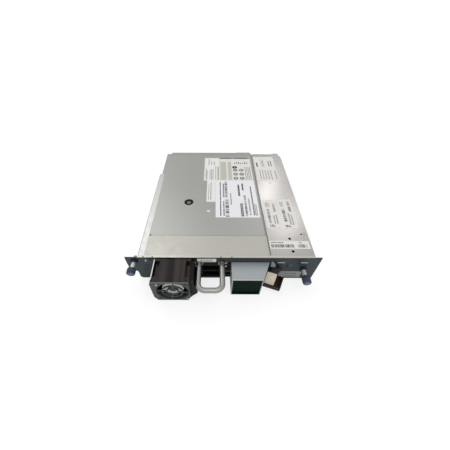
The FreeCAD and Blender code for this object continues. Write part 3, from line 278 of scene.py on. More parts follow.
def washer(outer: float, inner: float, low: float, high: float, centre: Sequence[float],
           axis: str) -> Surface:
    """Flat ring with a square section, turned about an axis.

    The four circles (outer, low), (outer, high), (inner, high), (inner, low) are joined in a
    closed loop.

    Args:
        outer: Outer radius.
        inner: Inner radius.
        low: Start along the axis.
        high: End along the axis.
        centre: Foot of the axis.
        axis: "X", "Y" or "Z".

    Returns:
        The closed ring.
    """
    open_ring = lathe([(outer, low), (outer, high), (inner, high), (inner, low)], centre, axis)
    here = np.arange(CIRCLE)
    ahead = (here + 1) % CIRCLE
    last = 3 * CIRCLE
    seam = np.stack([last + here, last + ahead, ahead, here], 1).tolist()
    return Surface(open_ring.points, open_ring.faces[:3 * CIRCLE] + seam)


def tube(path: np.ndarray, radius: float, segments: int = 16) -> Surface:
    """Round tube along a path.

    At each path point the section is p + r (cos t n + sin t b), with b across the path's
    tangent and the vertical, and n across both.

    Args:
        path: Rows of x, y, z in millimetres.
        radius: Tube radius.
        segments: Points round the section.

    Returns:
        The closed tube.
    """
    path = np.asarray(path, float)
    tangent = np.gradient(path, axis=0)
    tangent /= np.linalg.norm(tangent, axis=1)[:, None]
    side = np.cross(tangent, [0.0, 0.0, 1.0])
    side /= np.linalg.norm(side, axis=1)[:, None]
    normal = np.cross(side, tangent)
    turn = 2.0 * math.pi * np.arange(segments) / segments
    ring = (np.cos(turn)[None, :, None] * normal[:, None] + np.sin(turn)[None, :, None] * side[:, None])
    points = (path[:, None] + radius * ring).reshape(-1, 3)
    return Surface(points, ring_faces(len(path), segments))


# ------------------------------------------------------------ finishes
class Pattern(Enum):
    """How a finish varies over its surface."""

    ROLLED = "rolled sheet"
    SPANGLE = "zinc spangle"
    CAST = "cast metal"
    MOULDED = "moulded plastic"
    SHEEN_BANDS = "glossy plastic with painted sheen bands"
    PAPER = "printed paper"


BROAD_GRAIN = (14.0, 3.0)
FINE_GRAIN = {
    Pattern.ROLLED: (260.0, 2.0, (1.0, 0.02, 1.0)), Pattern.SPANGLE: (700.0, 2.0),
    Pattern.CAST: (900.0, 4.0), Pattern.MOULDED: (1800.0, 2.0),
    Pattern.SHEEN_BANDS: (130.0, 1.0, (1.0, 0.05, 0.05)), Pattern.PAPER: (2600.0, 3.0),
}
SPANGLE_SCALE = 160.0
BUMP_STRENGTH = 0.35


def feed(tree: bpy.types.NodeTree, node: bpy.types.Node, inputs: dict) -> None:
    """Fill a node's inputs.

    Args:
        tree: The node's tree.
        node: The node.
        inputs: By name or number: a socket is linked, any other value is set.
    """
    for key, value in inputs.items():
        if isinstance(value, bpy.types.NodeSocket):
            tree.links.new(value, node.inputs[key])
        else:
            node.inputs[key].default_value = value


def add_node(tree: bpy.types.NodeTree, kind: str, inputs: Optional[dict] = None,
             **traits: object) -> bpy.types.Node:
    """Add a shader node.

    Args:
        tree: Tree that gets it.
        kind: Its type, without "ShaderNode".
        inputs: What its inputs hold.
        traits: Its other settings, such as the operation.

    Returns:
        The node.
    """
    node = tree.nodes.new("ShaderNode" + kind)
    for trait, value in traits.items():
        setattr(node, trait, value)
    feed(tree, node, inputs or {})
    return node


def noise(group: bpy.types.NodeTree, vector: bpy.types.NodeSocket, scale: float, detail: float,
          stretch: Sequence[float] = (1.0, 1.0, 1.0)) -> bpy.types.NodeSocket:
    """Noise over stretched object coordinates.

    Args:
        group: Tree that gets the nodes.
        vector: The coordinates.
        scale: Noise scale, per metre.
        detail: Octaves of detail.
        stretch: Factor on each axis.

    Returns:
        The noise value's socket.
    """
    mapping = add_node(group, "Mapping", {"Vector": vector, "Scale": stretch})
    texture = add_node(group, "TexNoise", {"Vector": mapping.outputs["Vector"], "Scale": scale,
                                           "Detail": detail})
    return texture.outputs["Fac"]


def blended(group: bpy.types.NodeTree, first: bpy.types.NodeSocket, second: bpy.types.NodeSocket,
            share: float) -> bpy.types.NodeSocket:
    """Mix of two values.

    Args:
        group: Tree that gets the node.
        first: Value at share 0.
        second: Value at share 1.
        share: Share of the second value.

    Returns:
        The mixed value's socket.
    """
    return add_node(group, "Mix", {0: share, 2: first, 3: second}).outputs[0]


def pattern_group(pattern: Pattern) -> bpy.types.NodeTree:
    """Node group of one pattern, built once.

    Args:
        pattern: Which pattern.

    Returns:
        The group, with outputs Shade, Rough and Height, each from 0 to 1.
    """
    name = "pattern_" + pattern.name.lower()
    if name in bpy.data.node_groups:
        return bpy.data.node_groups[name]
    group = bpy.data.node_groups.new(name, "ShaderNodeTree")
    group.interface.new_socket(name="Vector", in_out="INPUT", socket_type="NodeSocketVector")
    for output in ("Shade", "Rough", "Height"):
        group.interface.new_socket(name=output, in_out="OUTPUT", socket_type="NodeSocketFloat")
    vector = group.nodes.new("NodeGroupInput").outputs["Vector"]
    broad = noise(group, vector, *BROAD_GRAIN)
    fine = noise(group, vector, *FINE_GRAIN[pattern])
    if pattern is Pattern.ROLLED:
        shade, rough, height = blended(group, broad, fine, 0.35), blended(group, broad, fine, 0.5), fine
    elif pattern is Pattern.SPANGLE:
        cells = add_node(group, "TexVoronoi", {"Vector": vector, "Scale": SPANGLE_SCALE})
        tone = add_node(group, "SeparateColor", {0: cells.outputs["Color"]})
        shade = blended(group, broad, tone.outputs[0], 0.35)
        rough, height = blended(group, tone.outputs[1], fine, 0.4), fine
    elif pattern is Pattern.CAST:
        shade, rough, height = blended(group, broad, fine, 0.5), broad, fine
    elif pattern is Pattern.MOULDED:
        shade, rough, height = broad, blended(group, broad, fine, 0.3), fine
    elif pattern is Pattern.SHEEN_BANDS:
        # Painted sheen: sharpened noise across X gives the light and dark bands that a rounded glossy body
        # shows under the lamps.
        sharper = add_node(group, "MapRange", {"Value": fine, "From Min": 0.36, "From Max": 0.64})
        shade, rough, height = sharper.outputs["Result"], broad, broad
    else:
        shade, rough, height = blended(group, broad, fine, 0.2), fine, fine
    feed(group, group.nodes.new("NodeGroupOutput"), {"Shade": shade, "Rough": rough, "Height": height})
    return group


def linear(colour: Sequence[float]) -> tuple:
    """Screen colour as scene-linear RGBA.

    Args:
        colour: Red, green and blue from 0 to 255.

    Returns:
        Four linear values.
    """
    share = np.asarray(colour, float) / 255.0
    value = np.where(share <= 0.04045, share / 12.92, ((share + 0.055) / 1.055) ** 2.4)
    return tuple(value.tolist()) + (1.0,)


@dataclass(frozen=True)
class Finish:
    """A surface finish.

    Args:
        name: The material's name.
        slot: The record's material slot it stands for; not used.
        colour: Screen colour, 0 to 255.
        roughness: Mean roughness.
        metallic: 1 for bare metal.
        pattern: How it varies.
        tint: Share by which the colour varies.
        spread: How far the roughness varies.
        relief: Bump height in millimetres.
        coat: Clear coat weight.
        through: Transmission weight.
        specular: Specular level.
    """

    name: str
    slot: str
    colour: tuple
    roughness: float
    metallic: float = 0.0
    pattern: Pattern = Pattern.MOULDED
    tint: float = 0.08
    spread: float = 0.1
    relief: float = 0.01
    coat: float = 0.0
    through: float = 0.0
    specular: float = 0.5

    def material(self) -> bpy.types.Material:
        """The finish's material, built once.

        Returns:
            The material.
        """
        name = "finish_" + self.name
        if name in bpy.data.materials:
            return bpy.data.materials[name]
        material = bpy.data.materials.new(name)
        material.use_nodes = True
        tree = material.node_tree
        places = add_node(tree, "TexCoord")
        pattern = add_node(tree, "Group", {"Vector": places.outputs["Object"]},
                           node_tree=pattern_group(self.pattern)).outputs
        base = np.array(linear(self.colour))[:3]
        dark, light = [(*np.minimum(base * share, 1.0), 1.0) for share in (1.0 - self.tint, 1.0 + self.tint)]
        mix = add_node(tree, "Mix", {0: pattern["Shade"]}, data_type="RGBA")
        feed(tree, mix, {6: dark, 7: light})
        rough = add_node(tree, "MapRange", {"Value": pattern["Rough"],
                                            "To Min": max(0.02, self.roughness - self.spread),
                                            "To Max": min(1.0, self.roughness + self.spread)})
        bump = add_node(tree, "Bump", {"Height": pattern["Height"], "Strength": BUMP_STRENGTH,
                                       "Distance": self.relief * MM})
        feed(tree, tree.nodes["Principled BSDF"], {
            "Base Color": mix.outputs[2], "Roughness": rough.outputs["Result"],
            "Normal": bump.outputs["Normal"], "Metallic": self.metallic, "Coat Weight": self.coat,
            "Specular IOR Level": self.specular, "Transmission Weight": self.through})
        return material


def metal(name: str, slot: str, colour: tuple, roughness: float, pattern: Pattern = Pattern.ROLLED,
          **more: float) -> Finish:
    """A bare metal finish.

    Args:
        name: The material's name.
        slot: The record's slot.
        colour: Screen colour.
        roughness: Mean roughness.
        pattern: How it varies.
        more: Other values of the finish.

    Returns:
        The finish.
    """
    return Finish(name, slot, colour, roughness, 1.0, pattern, **more)


def paper(name: str, slot: str, colour: tuple, roughness: float, tint: float = 0.08,
          specular: float = 0.5) -> Finish:
    """A finish of paper, film or ink.

    Args:
        name: The material's name.
        slot: The record's slot.
        colour: Screen colour.
        roughness: Mean roughness.
        tint: Share by which the colour varies.
        specular: Specular level.

    Returns:
        The finish.
    """
    return Finish(name, slot, colour, roughness, pattern=Pattern.PAPER, tint=tint, specular=specular)


BRACKET = Finish("bracket_grey", "galvanised_steel", (66, 72, 80), 0.45, 0.7, Pattern.ROLLED)
ZINC = metal("zinc_sheet", "galvanised_steel", (186, 186, 180), 0.42, Pattern.SPANGLE, tint=0.05)
HOOD_ZINC = Finish("hood_zinc", "galvanised_steel", (176, 182, 184), 0.45, 0.35, Pattern.SPANGLE, tint=0.05)
RAIL_ZINC = metal("rail_zinc", "galvanised_steel", (222, 222, 219), 0.36, Pattern.SPANGLE, tint=0.05)
WARM_ZINC = metal("warm_zinc_sheet", "galvanised_steel", (208, 206, 197), 0.46, Pattern.SPANGLE, tint=0.04)
# Bright zinc of the panel's hem, and painted highlight on the lips and edges of the rear cover, the hood and
# the fan bracket.
HEM_ZINC_AND_HIGHLIGHT = metal("hem_zinc_and_highlight", "galvanised_steel", (216, 214, 204), 0.4, Pattern.SPANGLE, tint=0.04)
CHANNEL_ZINC = metal("channel_sheet", "galvanised_steel", (208, 204, 200), 0.24, tint=0.03, spread=0.02,
                     relief=0.003)
# Painted shade: the bare steel panel's base colour is darkened to stand for the shade and dark reflection it
# shows.
SHADED_PANEL_STEEL = Finish("panel_steel", "panel_steel", (66, 75, 79), 0.42, 0.7, Pattern.ROLLED, tint=0.12)
COVER_STEEL = metal("cover_steel", "cover_steel", (192, 193, 188), 0.4, tint=0.05)
# Painted shade: COVER_SHADE and FOLD_SHADE are darker copies of the cover steel that stand for the shade on
# bent edges and folds and in gaps.
COVER_SHADE = metal("cover_edge_shade", "cover_steel", (186, 187, 184), 0.45, tint=0.05)
FOLD_SHADE = metal("cover_fold_shade", "cover_steel", (162, 163, 160), 0.5, tint=0.05)
CAST = metal("cast_alloy", "cast_metal", (168, 168, 166), 0.55, Pattern.CAST, relief=0.03)
SATIN = metal("satin_plate", "polished_steel", (178, 176, 172), 0.36, tint=0.03)
SHANK = Finish("shank_plated", "polished_steel", (232, 232, 230), 0.3, 0.35, Pattern.ROLLED, tint=0.05)
STATUS = Finish("status_lens", "clear_plastic", (6, 9, 8), 0.25, specular=0.25)
MACHINED = metal("machined_steel", "screw_steel", (176, 176, 172), 0.32, tint=0.08)
BRIGHT = metal("bright_screw", "screw_steel", (208, 208, 204), 0.3)
KNOB = Finish("knob_blue", "knob_plastic", (50, 60, 84), 0.42)
# Painted reflection and shade: the ferrules take a dark copy of the knob's blue, for the knob they reflect
# and the shadow it casts.
FERRULE_REFLECTION = Finish("ferrule_knob_reflection", "knob_plastic", (34, 40, 60), 0.4)
# Painted sheen: a strong tint with the sheen-band pattern paints light and dark reflection bands across the
# fan's glossy frame and guard.
BLACK_GLOSS_SHEEN = Finish("black_gloss_sheen", "black_plastic", (43, 36, 34), 0.2, pattern=Pattern.SHEEN_BANDS, tint=0.8,
                     specular=0.2)
HOLDER = Finish("holder_brown", "black_plastic", (44, 33, 23), 0.4, tint=0.3, specular=0.22)
# Painted highlight: a lighter copy of the guard plastic along the guard's top front rim.
RIM_HIGHLIGHT = Finish("rim_highlight", "guard_plastic", (120, 126, 124), 0.35)
# Painted highlight: a lighter copy of the knob plastic for the knob's end face.
KNOB_END_HIGHLIGHT = Finish("knob_cap", "knob_plastic", (104, 112, 132), 0.4)
BLACK = Finish("black_plastic", "black_plastic", (12, 12, 11), 0.4, specular=0.18)
# Painted highlight: a bright copy of the panel steel along the lances' edges.
LANCE_HIGHLIGHT = Finish("lance_edge_highlight", "panel_steel", (204, 206, 200), 0.5, 0.1, Pattern.ROLLED)
PORT_DARK = Finish("port_dark", "black_plastic", (8, 13, 10), 0.5, specular=0.2)
FAN_BLACK = Finish("fan_black", "fan_plastic", (24, 25, 25), 0.4, specular=0.3)
HUB_GREY = Finish("hub_foil", "polished_steel", (238, 244, 242), 0.4)
HUB_DARK = Finish("hub_centre", "fan_plastic", (72, 80, 76), 0.5, tint=0.3, specular=0.3)
GUARD = Finish("guard_grey", "guard_plastic", (62, 70, 67), 0.45, specular=0.4)
GREEN = Finish("hood_green", "hood_green", (2, 30, 23), 0.4, specular=0.04)
WHITE_NYLON = Finish("white_nylon", "white_plastic", (226, 215, 192), 0.5, tint=0.04)
CLEAR = Finish("clear_plastic", "clear_plastic", (190, 200, 197), 0.25, through=0.35)
LIGHT_PIPE = Finish("light_pipe", "clear_plastic", (30, 40, 34), 0.2, through=0.2)
LEAD = Finish("lead_sleeve", "lead_insulation", (46, 48, 50), 0.4)
BOARD = Finish("solder_mask", "board_green", (16, 56, 34), 0.35, coat=0.2)
BEZEL = Finish("bezel_plastic", "bezel_plastic", (34, 35, 37), 0.5, relief=0.03)
RUBBER = Finish("black_rubber", "rubber_black", (16, 16, 16), 0.7, specular=0.3)
ACETAL = Finish("white_acetal", "white_acetal", (226, 226, 220), 0.4, tint=0.03)
HEAD = metal("ceramic_head", "ceramic_head", (122, 122, 126), 0.2, Pattern.MOULDED)
PAPER = paper("label_paper", "white_plastic", (245, 245, 242), 0.55, tint=0.02)
BRIGHT_PAPER = paper("label_film", "white_plastic", (249, 249, 252), 0.4, tint=0.01)
DULL_PAPER = paper("label_dull", "white_plastic", (240, 238, 234), 0.5, tint=0.02)
PLATE_GREY = paper("plate_grey", "white_plastic", (158, 160, 160), 0.5, tint=0.03)
BEIGE = paper("label_beige", "white_plastic", (204, 201, 190), 0.6, tint=0.02)
STRIP_GREY = paper("strip_grey", "white_plastic", (128, 128, 125), 0.6)
INK = paper("ink_black", "rubber_black", (26, 26, 30), 0.6, specular=0.2)
GREY_INK = paper("ink_grey", "rubber_black", (92, 92, 92), 0.6, specular=0.3)
PALE_INK = paper("ink_pale", "rubber_black", (150, 150, 148), 0.6, specular=0.3)
# Painted shade: flat dark discs and crosses stand for the shade inside holes and screw recesses.
HOLE_SHADE = Finish("hole_shade", "rubber_black", (10, 10, 10), 0.8, specular=0.1)

NODE_FINISHES = {name: finish for finish, names in (
    (RAIL_ZINC, "sled_tray"),
    (SHADED_PANEL_STEEL, "rear_panel"),
    (WARM_ZINC, "rear_cover"),
    (CHANNEL_ZINC, "channel_cover"),
    (STATUS, "status_light"),
    (BLACK_GLOSS_SHEEN, "fan_frame"),
    (FAN_BLACK, "fan_impeller"),
    (GUARD, "fan_guard"),
    (BRACKET, "fan_bracket"),
    (BLACK, "fan_shroud"),
    (SATIN, "pull_handle"),
    (MACHINED, "handle_nuts left_retainer right_retainer take_up_motor supply_motor supply_chuck "
               "roller_posts head_screw loader_motor board_standoffs"),
    (PORT_DARK, "port_cage"),
    (HOOD_ZINC, "hood"),
    (GREEN, "hood_front"),
    (HOLDER, "plug_holder"),
    (WHITE_NYLON, "lead_plug"),
    (LEAD, "plug_leads"),
    (CLEAR, "lead_clip"),
    (FERRULE_REFLECTION, "ferrules"),
    (KNOB, "left_knob right_knob"),
    (SHANK, "left_shank right_shank"),
    (CAST, "drive_chassis head_base"),
    (BOARD, "main_board adapter_board control_board"),
    (COVER_STEEL, "drive_cover"),
    (RUBBER, "cover_grommet"),
    (BEZEL, "drive_bezel cartridge_door eject_button"),
    (LIGHT_PIPE, "front_lights"),
    (ACETAL, "take_up_reel loader_gear guide_roller_1 guide_roller_2 guide_roller_3 guide_roller_4"),
    (HEAD, "tape_head"),
    (ZINC, "side_plates cartridge_tray loader_slide"),
) for name in names.split()}


def dress_nodes(nodes: dict) -> None:
    """Give every piece of the frame its finish.

    Args:
        nodes: The frame's objects by name.
    """
    for name, obj in nodes.items():
        obj.data.materials.clear()
        obj.data.materials.append(NODE_FINISHES[name].material())
        log.info("dressed %s", name)


# ------------------------------------------------------------ places
# How far the rear cover's folded hem stands above its sheet.
HEM_RISE = 0.5


@dataclass(frozen=True)
class Box:
    """The box round a node, in millimetres, with Y counted from the panel's outer face.

    Args:
        x0: Left side.
        x1: Right side.
        y0: Near side.
        y1: Far side.
        z0: Underside.
        z1: Top.
    """

    x0: float
    x1: float
    y0: float
    y1: float
    z0: float
    z1: float

    @property
    def centre(self) -> tuple:
        """The box's middle.

        Returns:
            Its x, y and z.
        """
        return (self.x0 + self.x1) / 2.0, (self.y0 + self.y1) / 2.0, (self.z0 + self.z1) / 2.0


@dataclass(frozen=True)
class Datum:
    """Places that the small parts are set out from, in millimetres.

    Args:
        rear: The panel's outer face.
        top: The panel's top edge.
        cover: Top of the drive's cover.
        channel: Top of the channel's cover.
        rear_cover: Top of the cover over the rear bay.
    """

    rear: float
    top: float
    cover: float
    channel: float
    rear_cover: float

    @staticmethod
    def read() -> "Datum":
        """Read the places from the frame.

        The fan bracket's foot lies on the panel's outer face, so its far side gives that face.

        Returns:
            The datum.
        """
        return Datum(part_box("fan_bracket")[1].y / MM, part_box("rear_panel")[1].z / MM,
                     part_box("drive_cover")[1].z / MM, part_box("channel_cover")[1].z / MM,
                     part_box("rear_cover")[1].z / MM - HEM_RISE)

    def box(self, name: str) -> Box:
        """The box round one node of the frame.

        Args:
            name: The node.

        Returns:
            Its box.
        """
        low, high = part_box(name)
        return Box(low.x / MM, high.x / MM, low.y / MM - self.rear, high.y / MM - self.rear,
                   low.z / MM, high.z / MM)

    def moved(self, surface: Surface) -> Surface:
        """A surface set out from the panel's face, put in its place.

        Args:
            surface: The surface, with Y counted from the panel's outer face.

        Returns:
            The surface in the frame.
        """
        return Surface(surface.points + np.array([0.0, self.rear, 0.0]), surface.faces)


class Details:
    """A family of small parts that are set out from the datum."""

    def __init__(self, datum: Datum) -> None:
        """Keep the datum.

        Args:
            datum: Places of the frame.
        """
        self.datum = datum

    def add(self, name: str, parts: Sequence[Surface], finish: Finish, smooth: bool = False,
            body: str = "sled") -> bpy.types.Object:
        """Join surfaces into one piece and put it in its place.

        Args:
            name: The piece's name.
            parts: Its surfaces, with Y counted from the panel's outer face.
            finish: Its finish.
            smooth: True for round pieces.
            body: The body it moves with.

        Returns:
            The new object.
        """
        log.info("set %s", name)
        return self.datum.moved(Surface.merged(parts)).built(name, body, [finish], smooth=smooth)


# ------------------------------------------------------------ labels
class Mark(Enum):
    """Plain marks that stand for print."""

    DASHES = "rows of short dashes along Y"
    DASHES_ACROSS = "rows of short dashes along X"
    BARS = "bars stacked along Y"
    BARS_ACROSS = "bars stacked along X"
    SPOTS = "two columns of round spots"
    BLOCK = "one filled patch"


@dataclass(frozen=True)
class Print:
    """One patch of marks on a label.

    Args:
        mark: Kind of mark.
        x0: Left limit.
        x1: Right limit.
        y0: Near limit, from the panel's face.
        y1: Far limit.
        rows: Rows or bars.
        ink: The ink's finish.
        fill: Share of the patch that is inked.
    """

    mark: Mark
    x0: float
    x1: float
    y0: float
    y1: float
    rows: int = 1
    ink: Finish = GREY_INK
    fill: float = 0.5

    def rects(self, rng: np.random.Generator) -> np.ndarray:
        """Rectangles of this patch.

        Dashes run from a cumulative sum of random lengths and gaps; bars take random widths
        that add up to the patch's length.

        Args:
            rng: Seeded generator.

        Returns:
            Rows of x0, x1, y0, y1.
        """
        swap = self.mark in (Mark.DASHES_ACROSS, Mark.BARS_ACROSS)
        a0, a1, b0, b1 = ((self.y0, self.y1, self.x0, self.x1) if swap
                          else (self.x0, self.x1, self.y0, self.y1))
        if self.mark in (Mark.DASHES, Mark.DASHES_ACROSS):
            pitch = (a1 - a0) / self.rows
            count = int((b1 - b0) / 1.2) + 2
            runs = rng.uniform(0.9, 3.6, (self.rows, count))
            gaps = rng.uniform(0.3, 0.7, (self.rows, count))
            ends = b0 + np.cumsum(runs + gaps, 1)
            starts = ends - runs
            middle = np.broadcast_to(a0 + pitch * (np.arange(self.rows)[:, None] + 0.5), ends.shape)
            keep = ends < b1 - rng.uniform(0.0, 0.15 * (b1 - b0), (self.rows, 1))
            half = pitch * self.fill / 2.0
            rows = np.stack([middle - half, middle + half, starts, ends], 2)[keep]
        elif self.mark in (Mark.BARS, Mark.BARS_ACROSS):
            widths = rng.choice([1.0, 1.0, 2.0, 3.0], 2 * self.rows)
            widths *= (b1 - b0) / widths.sum()
            edges = b0 + np.concatenate([[0.0], np.cumsum(widths)])
            starts, ends = edges[0:-1:2], edges[1::2]
            rows = np.stack([np.full_like(starts, a0), np.full_like(starts, a1), starts, ends], 1)
        else:
            rows = np.array([[a0, a1, b0, b1]])
        return rows[:, [2, 3, 0, 1]] if swap else rows

    def surface(self, rng: np.random.Generator, low: float, high: float) -> Surface:
        """The patch as thin raised ink.

        Args:
            rng: Seeded generator.
            low: Underside height.
            high: Top height.

        Returns:
            The surface.
        """
        if self.mark is not Mark.SPOTS:
            return slabs(self.rects(rng), low, high)
        radius = 0.36 * (self.y1 - self.y0) / self.rows
        spots = []
        for x in (self.x0, self.x1):
            for y in np.linspace(self.y0 + radius, self.y1 - radius, self.rows):
                spots.append(washer(radius, 0.62 * radius, low, high, (x, y, 0.0), "Z"))
                spots.append(disc(0.3 * radius, low, high, (x, y, 0.0), "Z", 12))
        return Surface.merged(spots)


@dataclass(frozen=True)
class Label:
    """A label on one of the covers.

    Args:
        name: The piece's name.
        x0: Left edge.
        x1: Right edge.
        y0: Near edge, from the panel's face.
        y1: Far edge.
        paper: The label's finish.
        prints: Its marks.
    """

    name: str
    x0: float
    x1: float
    y0: float
    y1: float
    paper: Finish
    prints: tuple = ()

    def build(self, datum: Datum, top: float, seed: int) -> None:
        """Lay the label on a cover.

        Args:
            datum: Places of the frame.
            top: The cover's top.
            seed: Seed of its marks.
        """
        rng = np.random.default_rng(seed)
        sheet = rounded_slab(self.x0, self.x1, self.y0, self.y1, top - 0.02, top + 0.08, 0.6)
        datum.moved(sheet).built(self.name, "sled", [self.paper])
        if self.prints:
            inks = list(dict.fromkeys(p.ink for p in self.prints))
            parts = [p.surface(rng, top + 0.06, top + 0.1) for p in self.prints]
            slots = np.concatenate([np.full(len(s.faces), inks.index(p.ink))
                                    for p, s in zip(self.prints, parts)])
            datum.moved(Surface.merged(parts)).built(self.name + "_marks", "sled", inks, slots=slots)
        log.info("laid %s", self.name)


DASHES, DASHES_ACROSS, BARS, BARS_ACROSS, SPOTS, BLOCK = Mark

DRIVE_LABELS = (
    Label("label_upper_left", -28.0, -3.0, 151.4, 219.0, PAPER, (
        Print(DASHES, -22.0, -19.6, 196.0, 216.0, 1, PALE_INK, 0.6),
        Print(DASHES, -17.4, -15.4, 197.0, 215.0, 1, PALE_INK, 0.6),
        Print(DASHES, -12.6, -10.8, 196.0, 212.0, 1, GREY_INK, 0.6),
        Print(DASHES, -25.6, -22.6, 154.0, 186.0, 2, GREY_INK, 0.6),
        Print(DASHES, -19.4, -12.4, 154.0, 187.0, 3, PALE_INK, 0.5),
        Print(DASHES, -10.0, -8.2, 154.0, 196.0, 1, GREY_INK, 0.45),
        Print(DASHES, -6.4, -4.2, 153.0, 201.0, 1, GREY_INK, 0.7))),
    Label("label_upper_right", -2.6, 50.6, 151.4, 216.0, DULL_PAPER, (
        Print(BLOCK, -1.4, 8.6, 153.5, 207.0, 1, BEIGE),
        Print(BLOCK, 11.2, 17.2, 153.5, 207.0, 1, BEIGE),
        Print(SPOTS, 23.4, 33.4, 154.0, 184.6, 3, INK),
        Print(SPOTS, 22.2, 23.4, 186.0, 196.0, 1, INK),
        Print(DASHES, 22.0, 46.0, 200.0, 207.0, 7, GREY_INK, 0.5),
        Print(DASHES, 38.5, 49.0, 153.5, 196.0, 4, GREY_INK, 0.34))),
    Label("strip_upper_1", -1.6, 19.0, 217.4, 220.6, STRIP_GREY, (
        Print(DASHES_ACROSS, -1.0, 18.4, 217.8, 220.2, 1, GREY_INK, 0.7),)),
    Label("strip_upper_2", 22.0, 46.5, 217.4, 220.6, STRIP_GREY, (
        Print(DASHES_ACROSS, 22.6, 46.0, 217.8, 220.2, 1, GREY_INK, 0.7),)),
    Label("label_strip", -22.5, -9.4, 99.6, 151.2, PAPER, (
        Print(DASHES, -20.4, -18.6, 104.0, 149.0, 1, PALE_INK, 0.5),
        Print(DASHES, -17.2, -15.4, 104.0, 149.0, 1, PALE_INK, 0.7))),
    Label("label_main", -9.2, 51.0, 67.4, 151.2, BRIGHT_PAPER, (
        Print(DASHES, -3.4, -0.8, 70.0, 150.0, 1, INK, 0.55),
        Print(DASHES, 1.6, 3.8, 109.5, 150.0, 1, GREY_INK, 0.8),
        Print(BARS, 4.6, 8.4, 109.5, 150.0, 22, INK),
        Print(DASHES, 1.4, 3.4, 70.0, 105.0, 1, GREY_INK, 0.8),
        Print(BARS, 4.6, 9.6, 69.0, 105.5, 20, INK),
        Print(DASHES, 12.2, 14.0, 93.0, 124.0, 1, GREY_INK, 0.7),
        Print(DASHES, 24.2, 27.2, 113.0, 142.0, 1, INK, 0.9),
        Print(DASHES, 30.4, 33.4, 126.0, 148.0, 1, INK, 0.8),
        Print(DASHES, 25.6, 29.6, 69.0, 101.0, 2, INK, 0.8),
        Print(BARS, 32.0, 35.0, 70.0, 115.0, 34, INK),
        Print(BARS, 37.6, 39.8, 72.0, 108.0, 26, GREY_INK),
        Print(DASHES, 42.0, 45.6, 71.0, 140.0, 1, GREY_INK, 0.5),
        Print(DASHES, 45.0, 48.8, 71.0, 98.0, 2, GREY_INK, 0.5))),
)

CHANNEL_LABELS = (
    Label("label_channel_far", 57.2, 92.0, 153.0, 224.7, DULL_PAPER, (
        Print(DASHES, 60.0, 63.4, 192.0, 208.0, 1, INK, 0.7),
        Print(DASHES, 69.0, 74.0, 192.0, 218.0, 2, PALE_INK, 0.5),
        Print(DASHES, 80.0, 88.0, 194.0, 212.0, 2, GREY_INK, 0.4),
        Print(DASHES, 62.0, 84.0, 156.0, 186.0, 5, PALE_INK, 0.3),
        Print(DASHES, 88.0, 90.4, 156.0, 188.0, 1, GREY_INK, 0.5))),
    Label("label_channel_left", 58.2, 77.4, 49.0, 104.5, DULL_PAPER, (
        Print(BARS, 61.6, 65.2, 58.0, 85.0, 16, GREY_INK),
        Print(BARS, 70.8, 74.0, 80.0, 97.0, 9, GREY_INK),
        Print(DASHES, 60.6, 67.0, 89.0, 102.0, 3, PALE_INK, 0.5),
        Print(DASHES, 68.0, 74.6, 56.0, 76.0, 2, PALE_INK, 0.5),
        Print(DASHES_ACROSS, 61.6, 70.4, 50.6, 55.0, 2, INK, 0.6))),
    Label("label_channel_right", 79.2, 98.4, 48.0, 106.0, DULL_PAPER, (
        Print(BARS, 82.4, 86.2, 61.0, 86.0, 15, INK),
        Print(BARS, 92.0, 95.6, 80.0, 103.0, 12, GREY_INK),
        Print(DASHES, 81.6, 86.6, 90.0, 103.0, 3, PALE_INK, 0.5),
        Print(DASHES, 88.4, 95.0, 54.0, 78.0, 2, PALE_INK, 0.5),
        Print(DASHES_ACROSS, 82.0, 90.6, 50.0, 54.4, 2, INK, 0.6))),
    Label("label_channel_near", 56.4, 104.7, 14.5, 26.8, DULL_PAPER, (
        Print(BARS_ACROSS, 58.2, 86.4, 16.4, 21.4, 30, INK),
        Print(BARS_ACROSS, 90.4, 102.0, 16.4, 21.4, 10, INK),
        Print(DASHES_ACROSS, 57.6, 76.0, 23.2, 25.0, 1, GREY_INK, 0.7),
        Print(DASHES_ACROSS, 92.4, 97.4, 23.2, 25.0, 1, GREY_INK, 0.7))),
)


class Labels(Details):
    """Paper labels on the drive and the channel."""

    def build(self) -> None:
        """Lay every label, then the white mark beside them."""
        for seed, label in enumerate(DRIVE_LABELS, start=3):
            label.build(self.datum, self.datum.cover, seed)
        for seed, label in enumerate(CHANNEL_LABELS, start=30):
            label.build(self.datum, self.datum.channel, seed)
        mark = rounded_slab(-21.4, -16.6, 78.4, 81.2, self.datum.cover - 0.02, self.datum.cover + 0.2, 1.2)
        self.add("cover_white_mark", [mark], BRIGHT_PAPER)


# ------------------------------------------------------------ cover hardware
def cross_rects(x: float, y: float, arm: float, half: float) -> list:
    """The two bars of a cross, in plan.

    Args:
        x: Centre.
        y: Centre.
        arm: Reach of each bar.
        half: Half of a bar's width.

    Returns:
        Rows of x0, x1, y0, y1.
    """
    return [(x - arm, x + arm, y - half, y + half), (x - half, x + half, y - arm, y + arm)]


